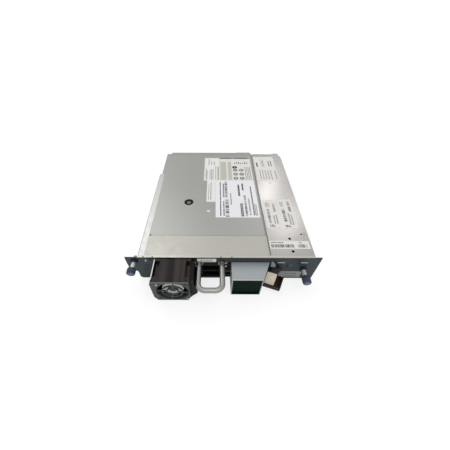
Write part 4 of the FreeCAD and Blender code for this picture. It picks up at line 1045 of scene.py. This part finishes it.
class CoverHardware(Details):
    """Screws on the covers, dark discs of painted shade in their holes, strips of painted shade on folds and
    in gaps, and a lip of painted highlight.
    """

    def build(self) -> None:
        """Add the covers' small parts."""
        self.dish_screw()
        self.holes()
        self.lips()
        self.corners()

    def dish_screw(self) -> None:
        """The screw in the cover's rubber ring, with a dark cross that paints the shade in its recess."""
        ring = self.datum.box("cover_grommet")
        x, y, _ = ring.centre
        seat, radius, height = ring.z0, 2.8, 1.9
        head = lathe([(radius, seat), (radius, seat + 0.7 * height), (0.86 * radius, seat + height)],
                     (x, y, 0.0), "Z", 32)
        cross = slabs(cross_rects(x, y, 1.7, 0.28), seat + 1.5, seat + 1.93)
        self.add("cover_screw", [head], MACHINED, smooth=True)
        self.add("cover_screw_cross", [cross], HOLE_SHADE)

    def holes(self) -> None:
        """Dark discs that paint the shade in the covers' holes, and rivets."""
        drive, cover, channel = self.datum.box("drive_cover"), self.datum.cover, self.datum.channel
        hem = self.datum.top + 0.06
        spots = ((drive.x0 + 1.2, 35.4, cover, 1.1), (drive.x1 - 1.0, 35.4, cover, 1.1),
                 (drive.x0 - 0.9, 1.4, hem, 0.8), (drive.x0 + 9.6, 1.4, hem, 0.8), (-2.9, 1.4, hem, 0.8),
                 (9.7, 1.4, hem, 0.8), (98.6, 38.0, channel, 1.2), (102.1, 38.0, channel, 0.8))
        holes = [disc(radius, z - 0.05, z + 0.03, (x, y, 0.0), "Z", 20) for x, y, z, radius in spots]
        self.add("cover_holes", holes, HOLE_SHADE)
        head = [(0.9, channel), (0.8, channel + 0.3), (0.4, channel + 0.45)]
        rivets = [lathe(head, (x, y, 0.0), "Z", 20) for x, y in ((76.2, 145.6), (98.3, 146.4))]
        self.add("channel_rivets", rivets, MACHINED, smooth=True)

    def lips(self) -> None:
        """Thin strips: painted shade on folded edges and in the gaps between covers, painted highlight on
        the rear cover's lip, and the panel's bright hem.

        A row holds the name, the finish, the sheet's height, the strip's underside and top
        counted from it, and the strip's plan.
        """
        datum = self.datum
        bay, drive = datum.box("rear_cover"), datum.box("drive_cover")
        rail = datum.box("sled_tray").z1
        left, right, cover, channel = drive.x0, drive.x1, datum.cover, datum.channel
        strips = (
            # Painted highlight: the rear cover's lip is a bright strip where its folded edge catches the
            # light.
            ("rear_cover_lip", HEM_ZINC_AND_HIGHLIGHT, datum.rear_cover, -0.1, 0.25,
             (bay.x1 - 3.4, bay.x1 - 2.6, 4.2, 34.6)),
            ("panel_hem_strip", HEM_ZINC_AND_HIGHLIGHT, datum.top, -0.02, 0.05, (left - 8.2, 106.6, 0.5, 3.9)),
            # Painted shade: the strips from here on darken the bent edges and fill the gaps between covers
            # with the tone of their shade.
            ("cover_back_fold", COVER_SHADE, cover, -0.02, 0.06, (left + 3.2, right, 229.5, 238.0)),
            ("cover_back_hump", COVER_SHADE, cover, -0.6, 0.1, (28.0, 52.0, 231.0, 239.0)),
            ("cover_side_fold", FOLD_SHADE, cover, -0.02, 0.04, (right - 1.2, right, 35.2, 234.0)),
            ("channel_gap_fold", FOLD_SHADE, channel, -4.0, -0.5, (right + 0.1, right + 1.5, 35.2, 233.0)),
            ("near_gap_fold", FOLD_SHADE, channel, -4.0, -1.0, (bay.x1 + 0.2, bay.x1 + 1.7, 4.4, 35.1)),
            ("rail_folds", FOLD_SHADE, rail, -0.02, 0.04, (left - 8.2, left - 7.8, 5.0, 169.6),
             (left - 0.6, left - 0.1, 5.0, 169.6)),
            ("channel_back_fold", FOLD_SHADE, channel, -0.02, 0.04, (56.2, 93.0, 231.0, 233.9)),
        )
        for name, finish, sheet, low, high, *plans in strips:
            self.add(name, [slabs(plans, sheet + low, sheet + high)], finish)

    def corners(self) -> None:
        """Rounded far ends of the drive's side and of the channel."""
        left, cover, channel = self.datum.box("drive_cover").x0, self.datum.cover, self.datum.channel
        shoulder = rounded_slab(left - 5.2, left + 1.0, 170.4, 235.4, cover - 3.4, cover - 0.9, 3.0)
        self.add("drive_side_shoulder", [shoulder], COVER_STEEL)
        bump = rounded_slab(92.0, 104.0, 229.0, 237.0, channel - 0.8, channel + 0.05, 2.4)
        self.add("channel_back_bump", [bump], CHANNEL_ZINC)


# ------------------------------------------------------------ fan
class FanDetails(Details):
    """The fan's corner screws, its hub's disc and centre, and the painted sheen and highlights on the edges
    round it.
    """

    SCREW_HEAD = ((0.9, -0.9), (1.4, -0.7), (1.6, -0.2), (1.5, 0.0))
    SCREW_INSET = 4.4

    def build(self) -> None:
        """Add the fan's small parts."""
        guard, frame = self.datum.box("fan_guard"), self.datum.box("fan_frame")
        cx, _, cz = frame.centre
        reach = (frame.x1 - frame.x0) / 2.0 - self.SCREW_INSET
        bolts = (("fan_screws_bright", MACHINED, ((-1, 1), (1, -1))),
                 ("fan_screws_dark", GUARD, ((-1, -1), (1, 1))))
        for name, finish, corners in bolts:
            heads = [lathe(self.SCREW_HEAD, (cx + sx * reach, guard.y0, cz + sz * reach), "Y", 24)
                     for sx, sz in corners]
            self.add(name, heads, finish, smooth=True)
        hub = self.datum.box("fan_impeller").y0 - guard.y1
        faces = (("fan_hub_disc", HUB_GREY, [(12.0, 0.3), (12.2, 0.5), (12.2, hub)]),
                 ("fan_hub_centre", HUB_DARK, [(5.8, 0.2), (6.0, 0.26), (6.0, 0.4)]))
        for name, finish, profile in faces:
            face = lathe(profile, (cx, guard.y1, cz), "Y")
            self.add(name, [face], finish, smooth=True, body="fan_impeller")
        self.edges(guard, self.datum.box("fan_bracket"))

    def edges(self, guard: Box, bracket: Box) -> None:
        """Glossy skin with painted sheen bands and a painted highlight along the front rim of the guard's
        top, and a painted highlight on the bracket's edge.

        Args:
            guard: The guard's box.
            bracket: The bracket's box.
        """
        left, right, roof, rim = guard.x0 + 1.2, guard.x1 - 0.6, guard.z1, guard.y0 + 0.5
        # The skin carries the painted sheen bands.
        skin = block(left, right, rim, guard.y1, roof - 0.02, roof + 0.05)
        self.add("fan_guard_sheen_skin", [skin], BLACK_GLOSS_SHEEN)
        # Painted highlight: a pale strip along the guard's top front rim.
        pale = block(left, right, guard.y0 - 0.04, rim, roof - 0.5, roof + 0.07)
        self.add("fan_guard_rim_highlight", [pale], RIM_HIGHLIGHT)
        # Painted highlight: a bright strip along the bracket's top edge, where it catches the light.
        edge = block(bracket.x1 - 1.1, bracket.x1 + 0.04, bracket.y0 - 0.04, bracket.y1 - 0.6,
                     bracket.z1 - 0.3, bracket.z1 + 0.06)
        self.add("fan_bracket_edge_highlight", [edge], HEM_ZINC_AND_HIGHLIGHT)


# ------------------------------------------------------------ panel hardware
class PanelHardware(Details):
    """Screws, washers, dark discs of painted shade in holes, plain plates, and painted highlights on edges
    of the rear panel.
    """

    # The handle's rod radius, and the outlines of the screw and rivet heads.
    ROD = 4.01
    PORT_SCREW = ((0.8, -1.5), (1.4, -1.1), (1.6, -0.4), (1.6, 0.1))
    RIVET = ((0.5, -0.6), (1.1, -0.4), (1.3, 0.02))

    def build(self) -> None:
        """Add the panel's small parts."""
        handle = self.datum.box("pull_handle")
        left, right, z = handle.x0 + self.ROD, handle.x1 - self.ROD, handle.centre[2]
        washers = [washer(3.8, 2.6, -0.8, 0.0, (x, 0.0, z), "Y") for x in (left, right)]
        self.add("handle_washers", washers, MACHINED, smooth=True)
        screws = [lathe(self.PORT_SCREW, (x, 0.0, z + dz), "Y", 24)
                  for x in (left - 5.7, right + 5.7) for dz in (0.9, -5.4)]
        self.add("port_screws", screws, BRIGHT, smooth=True)
        self.plate("panel_label", PAPER, left - 3.1, right - 6.0, 7.9, 1.6)
        self.marks("panel_label_marks", [(left + 1.0, right - 10.0, drop, drop - 0.5)
                                         for drop in (3.6, 5.2, 6.8)])
        self.plate("panel_plate", PLATE_GREY, 70.4, 98.2, 40.2, 27.2)
        self.marks("panel_plate_marks", [(x, x + 1.6, drop, drop - 2.4) for drop in (33.0, 38.6)
                                         for x in np.arange(77.6, 92.0, 2.6)])
        self.small_holes()
        self.port_surround()
        self.bright_edges()

    def plate(self, name: str, finish: Finish, x0: float, x1: float, low: float, high: float) -> None:
        """Thin plate on the panel.

        Args:
            name: The piece's name.
            finish: Its finish.
            x0: Left edge.
            x1: Right edge.
            low: Drop of its lower edge from the panel's top.
            high: Drop of its upper edge.
        """
        top = self.datum.top
        self.add(name, [block(x0, x1, -0.12, 0.01, top - low, top - high)], finish)

    def marks(self, name: str, places: Sequence[Sequence[float]]) -> None:
        """Plain marks on a plate.

        Args:
            name: The piece's name.
            places: Rows of left edge, right edge, and the drops of the lower and upper edge.
        """
        top = self.datum.top
        self.add(name, [block(x0, x1, -0.16, -0.1, top - low, top - high) for x0, x1, low, high in places],
                 GREY_INK)

    def small_holes(self) -> None:
        """Small dark discs that paint the shade in holes, and a rivet in the left ear."""
        spots = ((-92.9, 14.3), (-89.5, 14.9), (-95.6, 20.7), (-92.0, 18.5), (-94.6, 25.1), (-92.2, 25.1))
        holes = [disc(0.8, -0.05, 0.05, (x, 0.0, self.datum.top - drop), "Y", 16) for x, drop in spots]
        self.add("panel_holes", holes, HOLE_SHADE)
        rivet = lathe(self.RIVET, (-90.6, 0.0, self.datum.top - 5.4), "Y", 24)
        self.add("panel_rivet", [rivet], BRIGHT, smooth=True)

    def port_surround(self) -> None:
        """Dark moulding round the two ports."""
        ports, top = self.datum.box("port_cage"), self.datum.top
        left, right = self.datum.box("fan_shroud").x1, self.datum.box("hood").x0 - 0.2
        roof, sill = top - 8.4, ports.z0 - 2.0
        pieces = ((left, ports.x0, sill, roof), (ports.x1, right, 0.42 * top, roof),
                  (ports.x0, ports.x1, ports.z1, roof), (ports.x0, ports.x1, sill, ports.z0))
        self.add("port_surround", [block(x0, x1, -0.5, 0.02, low, high) for x0, x1, low, high in pieces],
                 PORT_DARK)

    def bright_edges(self) -> None:
        """Painted highlights on the edges of the two lances and on the hood's lip, the hood's foot, and a
        painted glint beside the status light.
        """
        hood, front, top = self.datum.box("hood"), self.datum.box("hood_front"), self.datum.top
        # Painted highlight along the lower edge of each lance.
        lances = [block(x - 4.2, x + 4.2, -0.9, 0.02, top - 8.3, top - 7.75)
                  for x in (hood.x1 + 13.4, self.datum.box("channel_cover").x1 - 11.4)]
        self.add("lance_highlights", lances, LANCE_HIGHLIGHT)
        # Painted highlight: a bright strip along the hood's front lip.
        lip = block(hood.x0 + 0.3, front.x1, hood.y0 - 0.05, hood.y0 + 0.9, hood.z1 - 0.3, hood.z1 + 0.06)
        self.add("hood_lip_highlight", [lip], HEM_ZINC_AND_HIGHLIGHT)
        foot = block(front.x0, front.x1, hood.y0 - 0.06, front.y0 + 0.02, hood.z0, front.z0 + 0.4)
        self.add("hood_foot", [foot], GREEN)
        # Painted glint: a pale patch beside the status light stands for light reflected on its lens.
        self.add("status_light_glint", [block(79.8, 81.6, -0.08, 0.01, top - 14.8, top - 13.6)], PLATE_GREY)


class PlugSet(Details):
    """The plug in its holder, the leads and their clip, as they lie on the real one."""

    # Share by which the holder's floor comes up, and by which the set comes nearer to the panel.
    LIFT = 0.45
    PULL = 0.12
    LEADS = 4
    LEAD_RADIUS = 0.75
    LEAD_PITCH = 2.1

    def __init__(self, datum: Datum, nodes: dict) -> None:
        """Keep the datum and the solids of the plug and its holder.

        Args:
            datum: Places of the frame.
            nodes: The frame's objects by name.
        """
        super().__init__(datum)
        self.nodes = nodes

    def build(self) -> None:
        """Draw the plug, holder, leads and clip."""
        self.shell("plug_holder", HOLDER, self.LIFT)
        self.shell("lead_plug", WHITE_NYLON, 0.0)
        self.leads()
        self.clip()

    def shell(self, name: str, finish: Finish, lift: float) -> None:
        """Draw one solid nearer to the panel, its floor nearer to its top.

        Each corner's height z becomes top - (top - z)(1 - lift), and its distance y from the
        panel becomes y (1 - PULL).

        Args:
            name: The node.
            finish: Its finish.
            lift: Share by which the floor comes up.
        """
        mesh = self.nodes[name].data
        points = np.empty(3 * len(mesh.vertices))
        mesh.vertices.foreach_get("co", points)
        turn = np.array(self.nodes[name].matrix_world)
        points = (points.reshape(-1, 3) @ turn[:3, :3].T + turn[:3, 3]) / MM
        top = points[:, 2].max()
        points[:, 2] = top - (top - points[:, 2]) * (1.0 - lift)
        points[:, 1] = (points[:, 1] - self.datum.rear) * (1.0 - self.PULL)
        shell = Surface(points, [tuple(face.vertices) for face in mesh.polygons])
        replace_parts(self.add(name + "_shell", [shell], finish), name)

    def leads(self) -> None:
        """Four short leads that loop from the panel's outlet into the plug.

        Each lead follows p(t) = sum of C(4, k) t^k (1 - t)^(4 - k) P_k, from the outlet, out
        and to the right, and back into the plug's rear face.
        """
        plug, mouth = self.datum.box("lead_plug"), self.datum.box("plug_leads")
        outlet = np.array([mouth.x1 - 3.8, 2.0, mouth.z1 - self.LEAD_RADIUS])
        entry = np.array([plug.x1 - 5.0, (plug.y1 - 2.1) * (1.0 - self.PULL), plug.z1 - 5.0])
        along, across = np.array([-0.385, -0.923, 0.0]), np.array([0.923, -0.385, 0.0])
        share = np.linspace(0.0, 1.0, 25)[:, None]
        weights = [math.comb(4, k) * share ** k * (1.0 - share) ** (4 - k) for k in range(5)]
        tubes = []
        for index in range(self.LEADS):
            shift = self.LEAD_PITCH * (index - (self.LEADS - 1) / 2.0)
            start, end = outlet + [shift, 0.0, 0.0], entry + shift * across
            knots = (start, start + [1.0, -6.0, 1.5],
                     start + [4.0 + 1.4 * index, -5.0 - index, 4.5 + 1.2 * index],
                     end - 6.0 * along + [1.5 + index, 0.0, 3.0], end + 1.0 * along)
            tubes.append(tube(sum(weight * knot for weight, knot in zip(weights, knots)), self.LEAD_RADIUS))
        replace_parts(self.add("plug_lead_loops", tubes, LEAD, smooth=True), "plug_leads")

    def clip(self) -> None:
        """Small clear hook over the leads, a quarter ring with a flat foot.

        Its outer edge is the quarter ellipse (6 cos a, 8.4 sin a) about the foot's corner.
        """
        box = self.datum.box("lead_clip")
        turn = np.linspace(math.pi / 2.0, 0.0, 9)
        x, z = np.append(box.x0 + 6.0 * np.cos(turn), box.x0), box.z1 - 4.6
        heights = np.append(z + 8.4 * np.sin(turn), z)
        points = np.concatenate([np.c_[x, np.full(len(x), y), heights] for y in (-2.0, 0.02)])
        hook = Surface(points, ring_faces(2, len(x)))
        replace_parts(self.add("lead_clip_hook", [hook], CLEAR), "lead_clip")


# ------------------------------------------------------------ threads and underside
class ScrewDetails(Details):
    """Ribbed knobs of the captive screws, and the threads on their tips."""

    # Each knob's length, and how far it stands out past the plain one.
    KNOBS = {"left": (7.2, 1.6), "right": (9.6, 4.2)}
    THREAD_PITCH = 0.7
    THREAD_RADII = (1.72, 1.98)
    TIP_LENGTH = 5.0

    def build(self) -> None:
        """Add knobs and threads."""
        for side, (length, ahead) in self.KNOBS.items():
            self.knob(side, length, ahead)
        for side in self.KNOBS:
            self.thread(side)

    def knob(self, side: str, length: float, ahead: float) -> None:
        """Ribbed knob with a pale cap of painted highlight on its end, in place of the plain one.

        Args:
            side: "left" or "right".
            length: The knob's length.
            ahead: How far it stands out past the plain one.
        """
        box = self.datum.box(side + "_knob")
        radius, foot = (box.x1 - box.x0) / 2.0, (box.centre[0], box.y0 - ahead, box.centre[2])
        profile = [(0.66 * radius, 0.0), (0.86 * radius, 0.15), (0.95 * radius, 0.6),
                   (radius, 1.1), (radius, length - 1.2), (0.93 * radius, length - 0.4),
                   (0.6 * radius, length), (2.32, length), (2.32, length - 2.0)]
        body = side + "_thumbscrew"
        knob = self.add(side + "_knob_ribbed", [lathe(profile, foot, "Y", 144, 18, 0.45)], KNOB, True, body)
        # Painted highlight: the pale cap on the knob's end is a lighter copy of the knob plastic.
        cap = lathe([(0.5 * radius, -0.12), (0.58 * radius, -0.02), (0.58 * radius, 0.1)], foot, "Y", 32)
        self.add(side + "_knob_cap", [cap], KNOB_END_HIGHLIGHT, True, body)
        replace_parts(knob, side + "_knob")

    def thread(self, side: str) -> None:
        """Cut look of a thread as rings of ridges.

        The profile swings between root and crest once in each pitch, r(h) = root or crest at
        alternate half pitches.

        Args:
            side: "left" or "right".
        """
        shank = self.datum.box(side + "_shank")
        x, _, z = shank.centre
        steps = np.arange(0.3, 4.6, self.THREAD_PITCH / 2.0)
        radii = np.where(np.arange(len(steps)) % 2 == 0, *self.THREAD_RADII)
        ridges = lathe(np.stack([radii, steps - self.TIP_LENGTH], 1), (x, shank.y1, z), "Y", 32)
        self.add(side + "_thread", [ridges], MACHINED, True, side + "_thumbscrew")


class Underside(Details):
    """Countersunk heads of the screws that hold the drive, seen from below."""

    def build(self) -> None:
        """Add the four heads and their dark crosses, which paint the shade in the recesses."""
        drive = self.datum.box("drive_chassis")
        places = [(drive.centre[0] + side * 0.475 * (drive.x1 - drive.x0),
                   drive.y0 + share * (drive.y1 - drive.y0)) for side in (-1, 1) for share in (0.2, 0.8)]
        heads = [lathe([(2.9, -0.05), (3.0, 0.0), (2.6, 0.4)], (x, y, 0.0), "Z", 32) for x, y in places]
        self.add("drive_screws", heads, MACHINED, smooth=True)
        crosses = [rect for x, y in places for rect in cross_rects(x, y, 1.6, 0.3)]
        self.add("drive_screw_crosses", [slabs(crosses, -0.07, 0.1)], HOLE_SHADE)


# ------------------------------------------------------------ studio
@dataclass(frozen=True)
class Softbox:
    """One soft light.

    Args:
        name: The light's name.
        place: Centre in metres.
        aim: Point it faces, in metres.
        size: Width in metres.
        power: Watts.
        length: Length in metres, or 0 for a square.
    """

    name: str
    place: tuple
    aim: tuple
    size: float
    power: float
    length: float = 0.0

    def build(self) -> None:
        """Hang the light."""
        lamp = bpy.data.lights.new(self.name, "AREA")
        lamp.shape = "RECTANGLE"
        lamp.size = self.size
        lamp.size_y = self.length or self.size
        lamp.energy = self.power
        obj = bpy.data.objects.new(self.name, lamp)
        way = np.asarray(self.aim) - np.asarray(self.place)
        way = way / np.linalg.norm(way)
        tilt = math.acos(-way[2])
        obj.rotation_euler = (tilt, 0.0, math.atan2(-way[0], way[1]))
        obj.location = self.place
        bpy.context.scene.collection.objects.link(obj)


class Studio:
    """Floor, soft light and camera."""

    HALF_FLOOR = 6.0
    NEAR_RAY = 0.004
    # Camera: focal length and sensor width, lens shift, place and turns.
    LENS = (18.04, 36.0)
    SHIFT = (0.0222, 0.0362)
    EYE = (-0.00965, -0.27186, 0.25322)
    TURNS = ((0.06, "Z"), (40.29, "X"), (0.18, "Z"))
    LIGHTS = (
        Softbox("key_softbox", (-0.9, 0.75, 1.2), (0.0, 0.0, 0.0), 1.3, 4.1),
        Softbox("fill_softbox", (0.1, -0.6, 1.3), (0.0, 0.0, 0.0), 1.0, 3.5),
        Softbox("channel_softbox", (0.48, 1.5, 1.2), (0.07, 0.0, 0.04), 0.16, 0.37, 0.28),
        Softbox("near_softbox", (0.6, 1.1, 1.2), (0.08, -0.06, 0.04), 0.2, 0.25),
    )

    def build(self) -> None:
        """Set the scene."""
        self.world()
        self.floor()
        for light in self.LIGHTS:
            light.build()
        self.camera()
        bpy.context.scene.view_settings.view_transform = "Standard"
        log.info("set studio")

    def world(self) -> None:
        """White for the camera, pale grey for the light it gives."""
        world = bpy.data.worlds.new("studio_world")
        bpy.context.scene.world = world
        world.use_nodes = True
        tree = world.node_tree
        path = add_node(tree, "LightPath")
        pick = add_node(tree, "Mix", {0: path.outputs["Is Camera Ray"], 2: 0.6, 3: 1.0})
        feed(tree, tree.nodes["Background"], {"Strength": pick.outputs[0], "Color": (1.0, 1.0, 1.0, 1.0)})

    def floor(self) -> None:
        """Pale floor that fades to white away from the object."""
        corners = [(x * self.HALF_FLOOR, y * self.HALF_FLOOR, -0.0003)
                   for x, y in ((-1, -1), (1, -1), (1, 1), (-1, 1))]
        mesh = bpy.data.meshes.new("studio_floor")
        mesh.from_pydata(corners, [], [(0, 1, 2, 3)])
        obj = bpy.data.objects.new("studio_floor", mesh)
        bpy.context.scene.collection.objects.link(obj)
        mesh.materials.append(self.floor_material())

    def floor_material(self) -> bpy.types.Material:
        """The floor's material, clear from below and for rays shorter than NEAR_RAY.

        Returns:
            The material.
        """
        material = bpy.data.materials.new("studio_floor")
        material.use_nodes = True
        tree = material.node_tree
        pale = tree.nodes["Principled BSDF"]
        feed(tree, pale, {"Base Color": (0.97, 0.97, 0.97, 1.0), "Roughness": 0.9})
        white = add_node(tree, "Emission", {"Strength": 1.2})
        places = add_node(tree, "TexCoord")
        reach = add_node(tree, "VectorMath", {0: places.outputs["Object"]}, operation="LENGTH")
        fade = add_node(tree, "MapRange", {"Value": reach.outputs["Value"], "From Min": 0.17,
                                           "From Max": 0.32, "To Min": 0.6},
                        interpolation_type="SMOOTHSTEP")
        path = add_node(tree, "LightPath")
        seen = add_node(tree, "Math", {0: fade.outputs["Result"], 1: path.outputs["Is Camera Ray"]},
                        operation="MULTIPLY")
        sheet = add_node(tree, "MixShader", {"Fac": seen.outputs["Value"], 1: pale.outputs["BSDF"],
                                             2: white.outputs["Emission"]})
        side = add_node(tree, "NewGeometry")
        near = add_node(tree, "Math", {0: path.outputs["Ray Length"], 1: self.NEAR_RAY},
                        operation="LESS_THAN")
        hidden = add_node(tree, "Math", {0: near.outputs["Value"], 1: side.outputs["Backfacing"]},
                          operation="MAXIMUM")
        clear = add_node(tree, "BsdfTransparent")
        ends = add_node(tree, "MixShader", {"Fac": hidden.outputs["Value"], 1: sheet.outputs["Shader"],
                                            2: clear.outputs["BSDF"]})
        feed(tree, tree.nodes["Material Output"], {"Surface": ends.outputs["Shader"]})
        return material

    def camera(self) -> None:
        """Wide camera above the rear panel, looking down at the covers."""
        data = bpy.data.cameras.new("camera")
        data.lens, data.sensor_width = self.LENS
        data.shift_x, data.shift_y = self.SHIFT
        data.clip_start = 0.01
        obj = bpy.data.objects.new("camera", data)
        roll, pitch, yaw = [Matrix.Rotation(math.radians(angle), 4, axis) for angle, axis in self.TURNS]
        obj.matrix_world = Matrix.Translation(self.EYE) @ (roll @ pitch @ yaw)
        bpy.context.scene.collection.objects.link(obj)
        bpy.context.scene.camera = obj


def main() -> None:
    """Load the frame and build everything on it."""
    logging.basicConfig(level=logging.INFO, format="%(name)s: %(message)s")
    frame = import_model()
    dress_nodes(frame["nodes"])
    datum = Datum.read()
    for part in (Labels(datum), CoverHardware(datum), FanDetails(datum), PanelHardware(datum),
                 PlugSet(datum, frame["nodes"]), ScrewDetails(datum), Underside(datum)):
        part.build()
    Studio().build()


if __name__ == "__main__":
    main()
